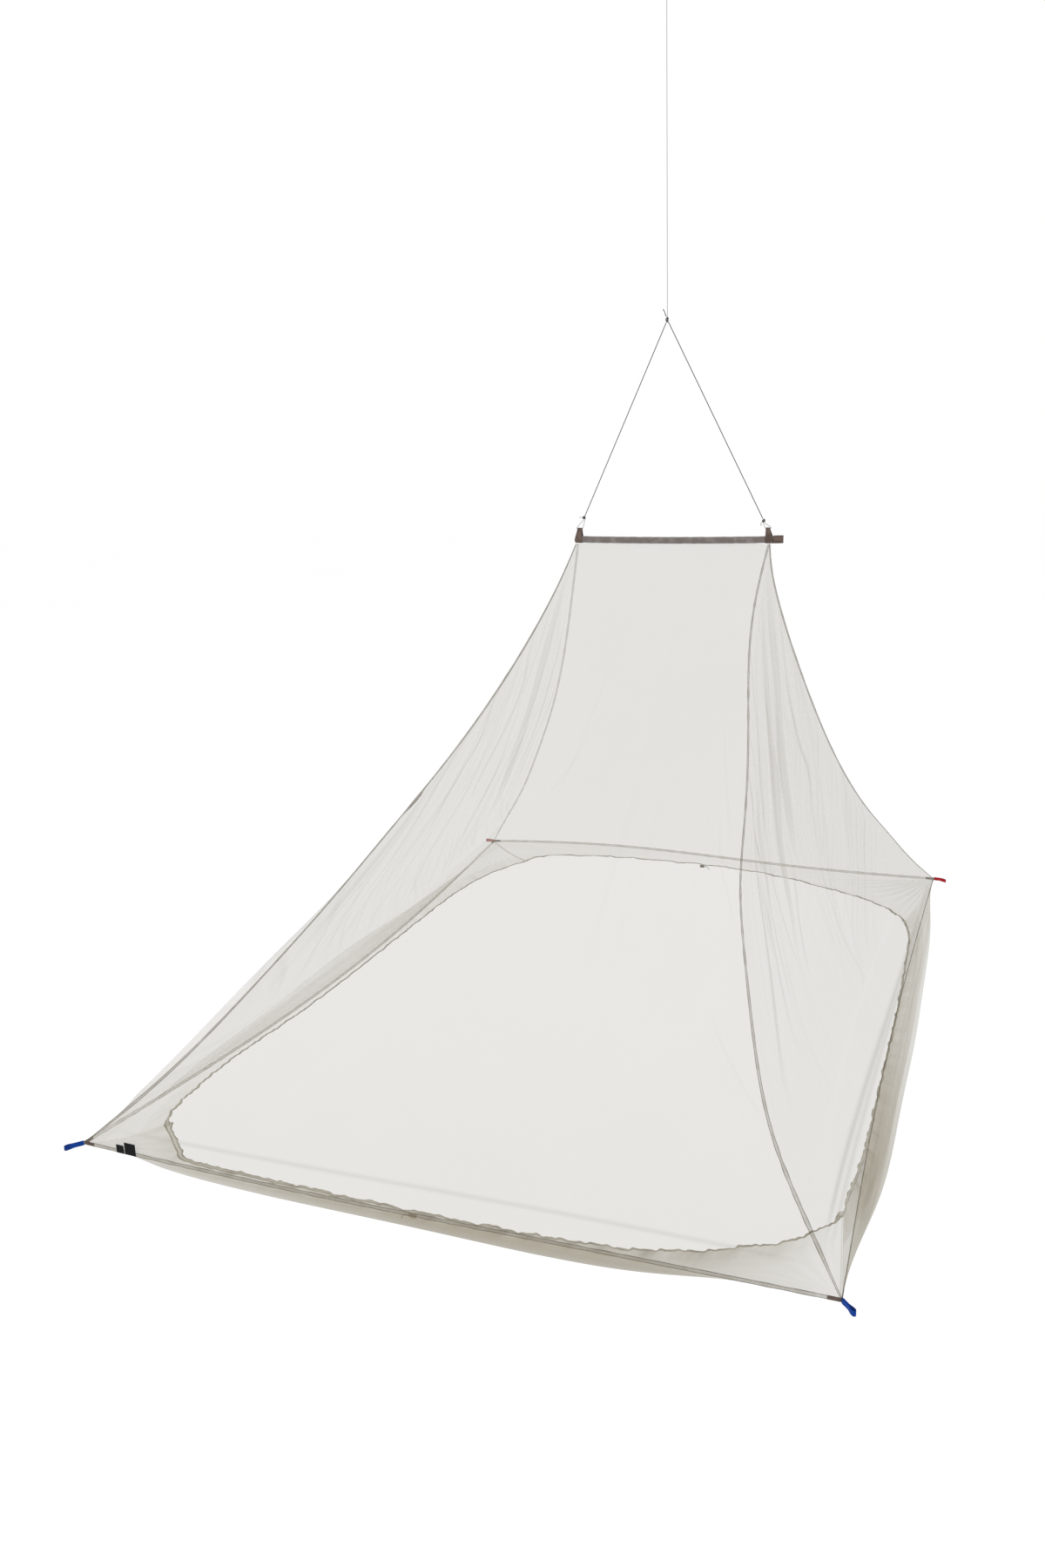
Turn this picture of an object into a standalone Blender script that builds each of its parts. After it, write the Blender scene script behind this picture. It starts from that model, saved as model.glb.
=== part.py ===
"""Pyramid mosquito net for two, hung from one cord by a spreader bar.

Everything is modelled in metres around the middle of the net's base: X runs along the bar, Y from the
front to the rear, and Z is the height above the four base corners. All objects are parented to one
empty, which moves that base so that the world origin is the point where the hanging line is tied.
"""
import math

import bmesh
import bpy
import numpy as np

# ---- Driving dimensions (metres) ---------------------------------------------------------------------
BASE_WIDTH = 1.672
BASE_DEPTH = 2.400
HANG_X, HANG_Y, HANG_HEIGHT = 0.187, 0.051, 2.600
CLEARANCE = 0.0003

NET_THICKNESS = 0.0010
TOP_GAP = 0.0005                  # between the sleeve and the front and rear walls' top edges
HEM_THICKNESS = 0.0045
TAPE_WIDTH, TAPE_THICKNESS = 0.0080, 0.0014
WEBBING_THICKNESS = 0.0014
SEAM_ALLOWANCE = 0.0011          # from a tape's edge to the middle of the net's edge

BAR_LEFT, BAR_RIGHT = -0.0665, 0.4810
BAR_DIAMETER = 0.0120
BAR_LEFT_HEIGHT, BAR_RIGHT_HEIGHT, BAR_SAG = 1.2535, 1.2485, 0.0025
SLEEVE_LEFT, SLEEVE_RIGHT = -0.0672, 0.4622
SLEEVE_DIAMETER, SLEEVE_WALL = 0.0165, 0.0018

RIDGE_TOP_LEFT, RIDGE_TOP_RIGHT = -0.0640, 0.4520
RIDGE_TOP_DROP = 0.0044          # the ridges begin this far below the sleeve's underside
RIDGE_TOP_SPREAD = 0.0085        # front and rear ridges begin this far from the bar's axis
CORNER_REACH = 0.0260            # the corner patches' arms
RIDGE_END = 0.9925               # where a ridge tape stops, as a share of its seam
WALL_INSET = 0.0120              # a wall's foot keeps this far from the corners
MITRE_GAP, MITRE_START, MITRE_SAG = 0.0014, 0.0020, 0.0080

CORD_DIAMETER, THIN_CORD_DIAMETER = 0.0020, 0.0016
APEX_HEIGHT = 1.7920

UP = np.array([0.0, 0.0, 1.0])
ORIGIN = np.array([HANG_X, HANG_Y, HANG_HEIGHT])

# ---- Seams --------------------------------------------------------------------------------------------
CORNERS = {
    "front_left": np.array([-BASE_WIDTH / 2, -BASE_DEPTH / 2, 0.0]),
    "front_right": np.array([BASE_WIDTH / 2, -BASE_DEPTH / 2, 0.0]),
    "rear_right": np.array([BASE_WIDTH / 2, BASE_DEPTH / 2, 0.0]),
    "rear_left": np.array([-BASE_WIDTH / 2, BASE_DEPTH / 2, 0.0]),
}
# A seam leaves its chord by sine waves: the first bows all of it, the others skew and ripple it.
# corner: (drawn in along X, hanging down along Z)
RIDGE_WAVES = {
    "front_left": ((0.048, -0.007, 0.020, 0.006, 0.008, 0.004),
                   (0.103, 0.018, -0.005, -0.009, -0.008, -0.007)),
    "front_right": ((0.129, -0.013, 0.010, 0.003, 0.006, 0.002),
                    (0.127, 0.013, 0.008, -0.012, -0.008, 0.007)),
    "rear_right": ((0.065, 0.010, 0.013, 0.002, 0.007, 0.002),
                   (0.097, -0.012, -0.021, -0.009, -0.010, -0.007)),
    "rear_left": ((0.034, 0.006, 0.002, 0.002, -0.001, 0.0),
                  (0.104, 0.011, -0.003, -0.004, -0.003, -0.001)),
}
# side: (start corner, end corner, direction inward, drawn in, hanging down)
BASE_SEAMS = {
    "front": ("front_left", "front_right", (0, 1, 0), (0.004, -0.001), (0.012, 0.002)),
    "right": ("front_right", "rear_right", (-1, 0, 0), (0.024, 0.001), (0.030, 0.001)),
    "rear": ("rear_right", "rear_left", (0, -1, 0), (0.001, 0.003), (-0.016, 0.010)),
    "left": ("rear_left", "front_left", (1, 0, 0), (0.033, 0.003), (0.044, -0.004)),
}
# side: the hem's places (X, Y, height) from its start mitre to its end mitre
HEM_PLACES = {
    "front": (
        (-0.749, -1.037, -0.030), (-0.705, -1.090, -0.032), (-0.648, -1.125, -0.034),
        (-0.560, -1.148, -0.038), (-0.400, -1.138, -0.045), (-0.029, -1.137, -0.050),
        (0.273, -1.129, -0.050), (0.483, -1.098, -0.050), (0.677, -1.016, -0.045),
        (0.760, -0.950, -0.038), (0.799, -0.892, -0.035),
    ),
    "right": (
        (0.799, -0.892, -0.035), (0.803, -0.790, -0.043), (0.811, -0.589, -0.058),
        (0.810, -0.159, -0.070), (0.811, 0.194, -0.062), (0.806, 0.512, -0.046),
        (0.800, 0.700, -0.036), (0.775, 0.832, -0.030),
    ),
    "rear": (
        (0.775, 0.832, -0.030), (0.723, 0.919, -0.030), (0.618, 1.015, -0.030),
        (0.484, 1.087, -0.030), (0.321, 1.158, -0.028), (0.119, 1.200, -0.025),
        (-0.083, 1.206, -0.022), (-0.350, 1.194, -0.020), (-0.545, 1.162, -0.022),
        (-0.620, 1.126, -0.023), (-0.652, 1.067, -0.025),
    ),
    "left": (
        (-0.652, 1.067, -0.025), (-0.739, 0.909, -0.035), (-0.786, 0.689, -0.045),
        (-0.800, 0.334, -0.055), (-0.803, -0.040, -0.060), (-0.808, -0.321, -0.060),
        (-0.819, -0.558, -0.055), (-0.818, -0.713, -0.050), (-0.788, -0.932, -0.036),
        (-0.749, -1.037, -0.030),
    ),
}
# side: (how far the skirt bellies out, how far it sags), again as sine waves along the side. From the seam
# to the hem a belly is a sine of the share of the way to the power of BELLY_SKEW: it is fuller by the seam.
SKIRT_BELLIES = {
    "front": ((0.024, -0.004, 0.006), (0.012, -0.001, 0.002)),
    "right": ((0.058, 0.008, 0.002), (0.012, 0.0, 0.0)),
    "rear": ((0.034, 0.0, 0.0), (0.014, 0.0, 0.0)),
    "left": ((0.078, 0.0, 0.0), (-0.022, 0.0, 0.0)),
}
BELLY_SKEW = 0.8
# Folds that radiate from the bar's ends: (place across, width, depth, crest height, reach)
# Place, width and depth are shares of the wall's local width, crest and reach shares of its height.
SIDE_FOLDS = {
    "left": (
        (0.07, 0.030, 0.020, 0.42, 0.50), (0.18, 0.045, -0.034, 0.50, 0.55),
        (0.30, 0.035, 0.026, 0.38, 0.42), (0.41, 0.050, -0.026, 0.56, 0.50),
        (0.54, 0.045, 0.030, 0.42, 0.50), (0.66, 0.040, -0.024, 0.36, 0.42),
        (0.77, 0.045, 0.024, 0.50, 0.50), (0.86, 0.035, -0.020, 0.44, 0.46),
        (0.952, 0.036, 0.027, 0.84, 0.42),
    ),
    "right": (
        (0.06, 0.035, 0.022, 0.46, 0.50), (0.16, 0.040, -0.026, 0.40, 0.46),
        (0.27, 0.045, 0.030, 0.52, 0.54), (0.39, 0.040, -0.028, 0.44, 0.50),
        (0.50, 0.045, 0.026, 0.40, 0.46), (0.61, 0.040, -0.030, 0.52, 0.54),
        (0.73, 0.045, 0.024, 0.44, 0.50), (0.84, 0.035, -0.022, 0.38, 0.44),
        (0.93, 0.030, 0.018, 0.50, 0.46),
    ),
}
# How quickly the folds die out at a side wall's start, end, top and foot
FOLD_EASE = (30, 42, 8, 30)
# Rows of a wall, as shares of its height: they close up above the base, where it turns.
WALL_ROWS = (0.0, 0.05, 0.11, 0.18, 0.26, 0.34, 0.43, 0.52, 0.61, 0.70, 0.79, 0.87, 0.93, 0.965, 0.985, 1.0)
SKIRT_ROWS = (0.0, 0.14, 0.30, 0.48, 0.66, 0.84, 0.95, 1.0)
SMOOTH_COLUMNS, FOLDED_COLUMNS, SKIRT_COLUMNS, TAPE_STATIONS = 14, 42, 26, 26
# A wall is drawn inward by this much in a crease above its foot.
BASE_CREASE = {"front": 0.010, "right": 0.034, "rear": 0.006, "left": 0.014}
CREASE_PLACE, CREASE_REACH = 0.945, 0.055

# ---- Webbing ------------------------------------------------------------------------------------------
# corner: (material, angle outward from the X axis in degrees, length, droop at the end)
CORNER_LOOPS = {
    "front_left": ("webbing_blue", 45.0, 0.042, 0.003),
    "front_right": ("webbing_blue", 45.0, 0.035, 0.003),
    "rear_right": ("webbing_red", 12.0, 0.040, 0.008),
    "rear_left": ("webbing_red", 12.0, 0.036, 0.002),
}
LOOP_WIDTH = 0.0100
LOOP_START = 0.0020
# Half of a corner loop's outline: (share of its length, half width)
LOOP_OUTLINE = (
    (0.00, 0.0), (0.03, 0.0013), (0.50, 0.0013), (0.62, 0.0026), (0.74, 0.0046),
    (0.85, 0.0053), (0.94, 0.0040), (1.00, 0.0),
)
# side: (left and right edge at the sleeve, left and right edge at the top)
SLINGS = {
    "left": (-0.0674, -0.0486, -0.0612, -0.0490),
    "right": (0.4427, 0.4620, 0.4432, 0.4532),
}
SLING_RISE = 0.0270              # from the sleeve's axis to the top fold's axis
SLING_TOP_RADIUS = 0.0024
SLING_SLACK = 0.0001
POCKET_LEFT, POCKET_RIGHT, POCKET_HEIGHT, POCKET_HALF = 0.4630, 0.4870, 0.0190, 0.0075

# ---- Cords --------------------------------------------------------------------------------------------
SIDE_KNOTS = {"left": (-0.0425, 1.3095), "right": (0.4374, 1.2950)}
KNOT_SIZE = {"left": (0.0040, 0.0040, 0.0052), "right": (0.0040, 0.0040, 0.0052),
             "apex": (0.0040, 0.0040, 0.0080), "top": (0.0038, 0.0038, 0.0070)}
# A tie loop leaves its knot this far aside and below, and turns this far outside the sling's top fold.
TIE_FOOT_ASIDE, TIE_FOOT_DROP, TIE_TURN, TIE_LIFT, TIE_SLACK = 0.0021, 0.0054, 0.0024, 0.0030, 0.0004
TOP_LOOP_WIDTH, TOP_LOOP_HEIGHT, TOP_LOOP_FOOT = 0.0200, 0.0450, 0.0018
TOP_LOOP_NECK = (0.62, 0.0120)   # (share of the loop's half width, height above its foot)
# One side of the top loop above its neck: (share of its half width, half widths below its crown)
TOP_LOOP_SIDE = ((1.0, 0.9), (0.72, 0.3))
# Tails that stand off a knot: places (X, height) from the knot's middle
TAILS = {
    "left": ((-0.0043, 0.0006), (-0.0070, 0.0012), (-0.0105, 0.0006), (-0.0140, 0.0010)),
    "right": ((-0.0040, -0.0030), (-0.0068, -0.0058), (-0.0078, -0.0098), (-0.0056, -0.0128)),
    "apex": ((-0.0024, 0.0074), (-0.0052, 0.0130), (-0.0072, 0.0190), (-0.0112, 0.0260)),
}

# side: (place along the hem, drop of the drawcord's end, extra room where the hem is wavy)
CORD_LOCKS = {"front": (0.445, 0.012, 0.0002), "rear": (0.560, 0.012, 0.0010)}
LOCK_RADIUS, LOCK_LENGTH, LOCK_BUTTON = 0.0052, 0.0170, 0.0036
# Half of a lock's outline: (radius, height from its cord's end to its button)
LOCK_PROFILE = (
    (0.0, 0.0), (0.0040, 0.0), (LOCK_RADIUS, 0.0015), (LOCK_RADIUS, 0.0115), (0.0042, 0.0130),
    (LOCK_BUTTON, 0.0130), (LOCK_BUTTON, 0.0164), (0.0030, LOCK_LENGTH), (0.0, LOCK_LENGTH),
)
# The drawcord's end, from its lock: (distance along the hem, share of its drop)
DRAWCORD_END = ((0.0, 0.0), (0.0060, 0.08), (0.0120, 0.30), (0.0160, 0.65), (0.0170, 1.0))
# name: (distance along the front tape, width, height)
LABELS = {"label_small": (0.0885, 0.0160, 0.0200), "label_large": (0.1060, 0.0290, 0.0290)}
LABEL_THICKNESS = 0.0008

COLOURS = {
    "net": ((0.62, 0.59, 0.52, 1), 0.85),
    "tape": ((0.30, 0.30, 0.27, 1), 0.85),
    "sleeve": ((0.13, 0.11, 0.105, 1), 0.90),
    "bar": ((0.35, 0.35, 0.36, 1), 0.40),
    "webbing_brown": ((0.17, 0.11, 0.09, 1), 0.85),
    "webbing_blue": ((0.01, 0.07, 0.38, 1), 0.70),
    "webbing_red": ((0.50, 0.02, 0.03, 1), 0.70),
    "label": ((0.02, 0.02, 0.02, 1), 0.80),
    "cord_dark": ((0.10, 0.10, 0.10, 1), 0.75),
    "cord_light": ((0.45, 0.45, 0.44, 1), 0.75),
    "lock": ((0.08, 0.08, 0.07, 1), 0.50),
}


# ---- Scene, materials and the two ways of making a piece ----------------------------------------------
def empty_scene():
    for old in list(bpy.data.objects):
        bpy.data.objects.remove(old, do_unlink=True)
    group = bpy.data.collections.new("mosquito_net_canopy")
    bpy.context.scene.collection.children.link(group)
    base = bpy.data.objects.new("base_centre", None)
    base.location = tuple(-ORIGIN)
    group.objects.link(base)
    return group, base


def make_materials():
    made = {}
    for name, (colour, roughness) in COLOURS.items():
        made[name] = bpy.data.materials.new(name)
        made[name].use_nodes = True
        shader = made[name].node_tree.nodes["Principled BSDF"]
        shader.inputs["Base Color"].default_value = colour
        shader.inputs["Roughness"].default_value = roughness
    return made


GROUP, BASE = empty_scene()
MATERIALS = make_materials()


def place(name, data, material):
    """Adds an object to the net's collection, on the base's empty."""
    data.materials.append(MATERIALS[material])
    piece = bpy.data.objects.new(name, data)
    GROUP.objects.link(piece)
    piece.parent = BASE
    return piece


def cloth(name, grid, thickness, material, ring=False, hem_row=None):
    """A sheet through a grid of points, made solid by Solidify. ring joins the last row to the first.
    Rows from hem_row on take the hem's thickness."""
    grid = np.asarray(grid)
    rows, columns = grid.shape[:2]
    mesh = bpy.data.meshes.new(name)
    faces = []
    for row in range(rows if ring else rows - 1):
        below = (row + 1) % rows
        for column in range(columns - 1):
            faces.append((row * columns + column, row * columns + column + 1,
                          below * columns + column + 1, below * columns + column))
    mesh.from_pydata([tuple(point) for point in grid.reshape(-1, 3)], [], faces)
    piece = place(name, mesh, material)
    solid = piece.modifiers.new("thickness", "SOLIDIFY")
    solid.offset = 0.0
    solid.thickness = thickness
    if hem_row is not None:
        hem = piece.vertex_groups.new(name="hem")
        hem.add(list(range(hem_row * columns, rows * columns)), 1.0, "REPLACE")
        solid.vertex_group = "hem"
        solid.thickness_vertex_group = thickness / HEM_THICKNESS
        solid.thickness = HEM_THICKNESS
    return piece


def cord(name, points, diameter, material):
    """A round cord along points, with capped ends."""
    curve = bpy.data.curves.new(name, "CURVE")
    curve.dimensions = "3D"
    curve.bevel_depth = diameter / 2
    curve.bevel_resolution = 2
    curve.use_fill_caps = True
    spline = curve.splines.new("POLY")
    spline.points.add(len(points) - 1)
    for node, point in zip(spline.points, points):
        node.co = (*point, 1.0)
    return place(name, curve, material)


# ---- Lines in space -----------------------------------------------------------------------------------
def unit(vector):
    vector = np.asarray(vector, float)
    return vector / np.linalg.norm(vector)


def waves(amounts, share):
    return sum(amount * math.sin((k + 1) * math.pi * share) for k, amount in enumerate(amounts))


def hung_seam(start, end, inward, drawn_in, hanging):
    """A seam from start to end: its chord, drawn inward and hanging down by sine waves."""
    inward = np.asarray(inward, float)

    def at(share):
        chord = start + (end - start) * share
        return chord + inward * waves(drawn_in, share) - UP * waves(hanging, share)

    return at


def smooth_line(places):
    """A smooth line through places, by Catmull-Rom pieces, as a function of the share of its length."""
    nodes = np.asarray(places, float)
    ends = np.vstack([2 * nodes[0] - nodes[1], nodes, 2 * nodes[-1] - nodes[-2]])
    lengths = np.linalg.norm(np.diff(nodes, axis=0), axis=1)
    marks = np.concatenate([[0.0], np.cumsum(lengths)]) / lengths.sum()

    def at(share):
        k = int(min(np.searchsorted(marks, share, side="right") - 1, len(lengths) - 1))
        k = max(k, 0)
        t = (share - marks[k]) / (marks[k + 1] - marks[k])
        before, start, end, after = ends[k:k + 4]
        return 0.5 * (2 * start + (end - before) * t
                      + (2 * before - 5 * start + 4 * end - after) * t ** 2
                      + (3 * start - before - 3 * end + after) * t ** 3)

    return at


def direction(line, share, step=0.002):
    return unit(line(min(share + step, 1.0)) - line(max(share - step, 0.0)))


def sleeve_axis(x):
    """The bar's axis at x: it slopes a little and sags between its slings."""
    share = (x - SLEEVE_LEFT) / (SLEEVE_RIGHT - SLEEVE_LEFT)
    sag = BAR_SAG * 4 * share * (1 - share)
    height = BAR_LEFT_HEIGHT + (BAR_RIGHT_HEIGHT - BAR_LEFT_HEIGHT) * share - sag
    return np.array([x, HANG_Y, height])


def ridge_top(corner):
    x = RIDGE_TOP_LEFT if "left" in corner else RIDGE_TOP_RIGHT
    side = -1 if "front" in corner else 1
    below = SLEEVE_DIAMETER / 2 + RIDGE_TOP_DROP
    return sleeve_axis(x) + np.array([0.0, side * RIDGE_TOP_SPREAD, -below])


def ridge_line(corner):
    end = CORNERS[corner]
    inward = (-math.copysign(1, end[0]), 0, 0)
    drawn_in, hanging = RIDGE_WAVES[corner]
    return hung_seam(ridge_top(corner), end, inward, drawn_in, hanging)


def base_line(side):
    start, end, inward, drawn_in, hanging = BASE_SEAMS[side]
    return hung_seam(CORNERS[start], CORNERS[end], inward, drawn_in, hanging)


RIDGES = {corner: ridge_line(corner) for corner in CORNERS}
BASES = {side: base_line(side) for side in BASE_SEAMS}
HEMS = {side: smooth_line(places) for side, places in HEM_PLACES.items()}


def ridge_across(corner, share):
    """Across a ridge tape, from its side wall towards its front or rear wall."""
    end = CORNERS[corner]
    outward = unit((end[0], end[1], 0))
    along = direction(RIDGES[corner], share)
    across = unit(np.cross(along, outward))
    towards_face = np.array([-end[0], end[1], 0])
    return across if across @ towards_face > 0 else -across


def ridge_edge(corner, share, face, distance):
    """A point beside a ridge seam, on its front or rear wall's side, or else on its side wall's."""
    sign = 1 if face else -1
    return RIDGES[corner](share) + ridge_across(corner, share) * sign * distance


# ---- Walls --------------------------------------------------------------------------------------------
EDGE = TAPE_WIDTH / 2 + SEAM_ALLOWANCE
END_PULL = 40                    # how quickly a wall's edge leaves its pinned end


def pinned(edge, start, end):
    """The edge, moved at its ends so that it begins at start and stops at end."""
    first, last = start - edge(0.0), end - edge(1.0)

    def at(share):
        return edge(share) + first * (1 - share) ** END_PULL + last * share ** END_PULL

    return at


def patch(top, bottom, left, right, across, down):
    """The Coons surface between four edges."""
    corners = (1 - across) * (1 - down) * top(0.0) + across * (1 - down) * top(1.0)
    corners = corners + (1 - across) * down * bottom(0.0) + across * down * bottom(1.0)
    between_sides = (1 - across) * left(down) + across * right(down)
    return between_sides + (1 - down) * top(across) + down * bottom(across) - corners


def wall_edges(side):
    """The left, right, top and bottom edges of a wall, seen from outside it or from inside."""
    start, end = BASE_SEAMS[side][:2]
    face = side in ("front", "rear")
    inset = WALL_INSET / np.linalg.norm(CORNERS[end] - CORNERS[start])

    def left(down):
        return ridge_edge(start, down * RIDGE_END, face, EDGE)

    def right(down):
        return ridge_edge(end, down * RIDGE_END, face, EDGE)

    def base(across):
        return BASES[side](inset + (1 - 2 * inset) * across) + UP * EDGE

    def top(across):
        point = left(0.0) + (right(0.0) - left(0.0)) * across
        if face:
            plateau = min(1.0, across * SMOOTH_COLUMNS, (1 - across) * SMOOTH_COLUMNS)
            near = -1 if side == "front" else 1
            level = sleeve_axis(point[0]) - UP * (SLEEVE_DIAMETER / 2 + TOP_GAP)
            level[1] += near * NET_THICKNESS
            point = point + (level - point) * plateau
        return point

    return top, pinned(base, left(1.0), right(1.0)), left, right


def bump(value):
    """1 at 0, falling smoothly to 0 at 1 and beyond."""
    return math.cos(min(abs(value), 1.0) * math.pi / 2) ** 2


def fold_depth(side, across, down):
    """How far a side wall stands out of its even surface, as a share of its local width."""
    total = 0.0
    for middle, width, depth, crest, reach in SIDE_FOLDS.get(side, ()):
        total += depth * math.exp(-((across - middle) / width) ** 2) * bump((down - crest) / reach)
    start, end, top, foot = FOLD_EASE
    return total * min(1.0, start * across, end * (1 - across), top * down, foot * (1 - down))


def wall_grid(side):
    top, bottom, left, right = wall_edges(side)
    columns = FOLDED_COLUMNS if side in SIDE_FOLDS else SMOOTH_COLUMNS
    inward = np.asarray(BASE_SEAMS[side][2], float)
    grid = []
    for down in WALL_ROWS:
        width = np.linalg.norm(patch(top, bottom, left, right, 1.0, down)
                               - patch(top, bottom, left, right, 0.0, down))
        crease = BASE_CREASE[side] * bump((down - CREASE_PLACE) / CREASE_REACH)
        row = []
        for column in range(columns + 1):
            across = column / columns
            point = patch(top, bottom, left, right, across, down)
            point = point - inward * fold_depth(side, across, down) * width
            point = point + inward * crease * math.sin(math.pi * across)
            row.append(point)
        grid.append(row)
    return grid


def make_walls():
    for side in BASE_SEAMS:
        cloth(f"wall_{side}", wall_grid(side), NET_THICKNESS, "net")


# ---- Skirt --------------------------------------------------------------------------------------------
def mitre_line(corner, side):
    """From under a base corner to the hem's corner, on one side of the mitre."""
    start, end = BASE_SEAMS[side][:2]
    share = 0.0 if corner == start else 1.0
    inner = HEMS[side](share)
    outer = CORNERS[corner] - UP * EDGE
    outer = outer + unit((inner - outer) * (1, 1, 0)) * MITRE_START
    towards = (CORNERS[end] - CORNERS[start]) * (1 if corner == start else -1)
    aside = unit(np.cross(UP, inner - outer)) * MITRE_GAP / 2
    aside = aside * math.copysign(1, aside @ towards)

    def at(inward):
        return outer + (inner - outer) * inward + aside - UP * MITRE_SAG * math.sin(math.pi * inward)

    return at


def skirt_edges(side):
    start, end = BASE_SEAMS[side][:2]
    left, right = mitre_line(start, side), mitre_line(end, side)

    def seam(across):
        return BASES[side](across) - UP * EDGE

    return pinned(seam, left(0.0), right(0.0)), pinned(HEMS[side], left(1.0), right(1.0)), left, right


def skirt_grid(side):
    seam, hem, left, right = skirt_edges(side)
    outward = -np.asarray(BASE_SEAMS[side][2], float)
    belly, sag = SKIRT_BELLIES[side]
    grid = []
    for inward in SKIRT_ROWS:
        row = []
        for column in range(SKIRT_COLUMNS + 1):
            across = column / SKIRT_COLUMNS
            point = patch(seam, hem, left, right, across, inward)
            point = point + outward * waves(belly, across) * math.sin(math.pi * inward ** BELLY_SKEW)
            point = point - UP * waves(sag, across) * math.sin(math.pi * inward)
            row.append(point)
        grid.append(row)
    return grid


def make_skirt():
    for side in BASE_SEAMS:
        cloth(f"skirt_{side}", skirt_grid(side), NET_THICKNESS, "net", hem_row=len(SKIRT_ROWS) - 2)


# ---- Tapes and corner webbing -------------------------------------------------------------------------
def make_ridge_tapes():
    for corner in CORNERS:
        rows = []
        for down in WALL_ROWS:
            share = RIDGE_END * down
            rows.append([ridge_edge(corner, share, False, TAPE_WIDTH / 2),
                         ridge_edge(corner, share, True, TAPE_WIDTH / 2)])
        cloth(f"ridge_tape_{corner}", rows, TAPE_THICKNESS, "tape")


def make_base_tapes():
    for side, (start, end, *_) in BASE_SEAMS.items():
        length = np.linalg.norm(CORNERS[end] - CORNERS[start])
        first = (CORNER_REACH + CLEARANCE) / length
        rows = []
        for station in range(TAPE_STATIONS + 1):
            middle = BASES[side](first + (1 - 2 * first) * station / TAPE_STATIONS)
            rows.append([middle - UP * TAPE_WIDTH / 2, middle + UP * TAPE_WIDTH / 2])
        cloth(f"base_tape_{side}", rows, TAPE_THICKNESS, "tape")


def corner_arms(corner):
    """Points along the two base seams, from one arm's end by the corner to the other's."""
    points = []
    for side, (start, end, *_) in BASE_SEAMS.items():
        length = np.linalg.norm(CORNERS[end] - CORNERS[start])
        if start == corner:
            points.append(BASES[side](CORNER_REACH / length))
        if end == corner:
            points.append(BASES[side](1 - CORNER_REACH / length))
    return points[0], CORNERS[corner], points[1]


def make_corner_patches():
    for corner in CORNERS:
        rows = [[point - UP * TAPE_WIDTH / 2, point + UP * TAPE_WIDTH / 2] for point in corner_arms(corner)]
        piece = cloth(f"corner_patch_{corner}", rows, WEBBING_THICKNESS, "webbing_brown")
        piece.modifiers["thickness"].use_even_offset = True


def loop_directions(corner):
    """Outward along a corner loop, and across it, both level."""
    angle = math.radians(CORNER_LOOPS[corner][1])
    signs = np.sign(CORNERS[corner])
    outward = np.array([signs[0] * math.cos(angle), signs[1] * math.sin(angle), 0.0])
    return outward, np.cross(UP, outward)


def make_corner_loops():
    for corner, (material, _, length, droop) in CORNER_LOOPS.items():
        outward, across = loop_directions(corner)
        side = [(along, half) for along, half in LOOP_OUTLINE]
        outline = side + [(along, -half) for along, half in reversed(side[1:-1])]
        rows = []
        for along, half in outline:
            middle = CORNERS[corner] + outward * (LOOP_START + along * length) + across * half
            middle = middle - UP * droop * along ** 2
            rows.append([middle - UP * LOOP_WIDTH / 2, middle + UP * LOOP_WIDTH / 2])
        cloth(f"corner_loop_{corner}", rows, WEBBING_THICKNESS, material, ring=True)


# ---- Bar, sleeve, slings and pocket -------------------------------------------------------------------
def rod(name, left, right, diameter, material, stations=9):
    points = [sleeve_axis(left + (right - left) * k / (stations - 1)) for k in range(stations)]
    piece = cord(name, points, diameter, material)
    piece.data.bevel_resolution = 4
    return piece


def make_bar():
    rod("spreader_bar", BAR_LEFT, BAR_RIGHT, BAR_DIAMETER, "bar")
    radius = (SLEEVE_DIAMETER - SLEEVE_WALL) / 2
    stations, sides = 9, 16
    rows = []
    for side in range(sides):
        angle = 2 * math.pi * side / sides
        spoke = radius * np.array([0.0, math.cos(angle), math.sin(angle)])
        rows.append([sleeve_axis(SLEEVE_LEFT + (SLEEVE_RIGHT - SLEEVE_LEFT) * k / (stations - 1)) + spoke
                     for k in range(stations)])
    cloth("bar_sleeve", rows, SLEEVE_WALL, "sleeve", ring=True)


def arc(radius, start, end, steps):
    """Points (Y, Z) of an arc between two angles in degrees."""
    angles = [math.radians(start + (end - start) * k / steps) for k in range(steps + 1)]
    return [(radius * math.cos(angle), radius * math.sin(angle)) for angle in angles]


def sling_outline():
    """A closed belt (Y, Z) around the sleeve and over the tie loop, from the sleeve's axis."""
    round_sleeve = SLEEVE_DIAMETER / 2 + CLEARANCE + WEBBING_THICKNESS / 2 + SLING_SLACK
    lean = math.degrees(math.asin((round_sleeve - SLING_TOP_RADIUS) / SLING_RISE))
    lower = arc(round_sleeve, lean, -180 - lean, 12)
    upper = [(y, z + SLING_RISE) for y, z in arc(SLING_TOP_RADIUS, 180 - lean, lean, 6)]
    return lower + upper


def make_slings():
    for side, (low_left, low_right, high_left, high_right) in SLINGS.items():
        rows = []
        for y, z in sling_outline():
            rise = min(max(z / SLING_RISE, 0.0), 1.0)
            left = low_left + (high_left - low_left) * rise
            right = low_right + (high_right - low_right) * rise
            rows.append([sleeve_axis(left) + (0.0, y, z), sleeve_axis(right) + (0.0, y, z)])
        cloth(f"sling_{side}", rows, WEBBING_THICKNESS, "webbing_brown", ring=True)


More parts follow.
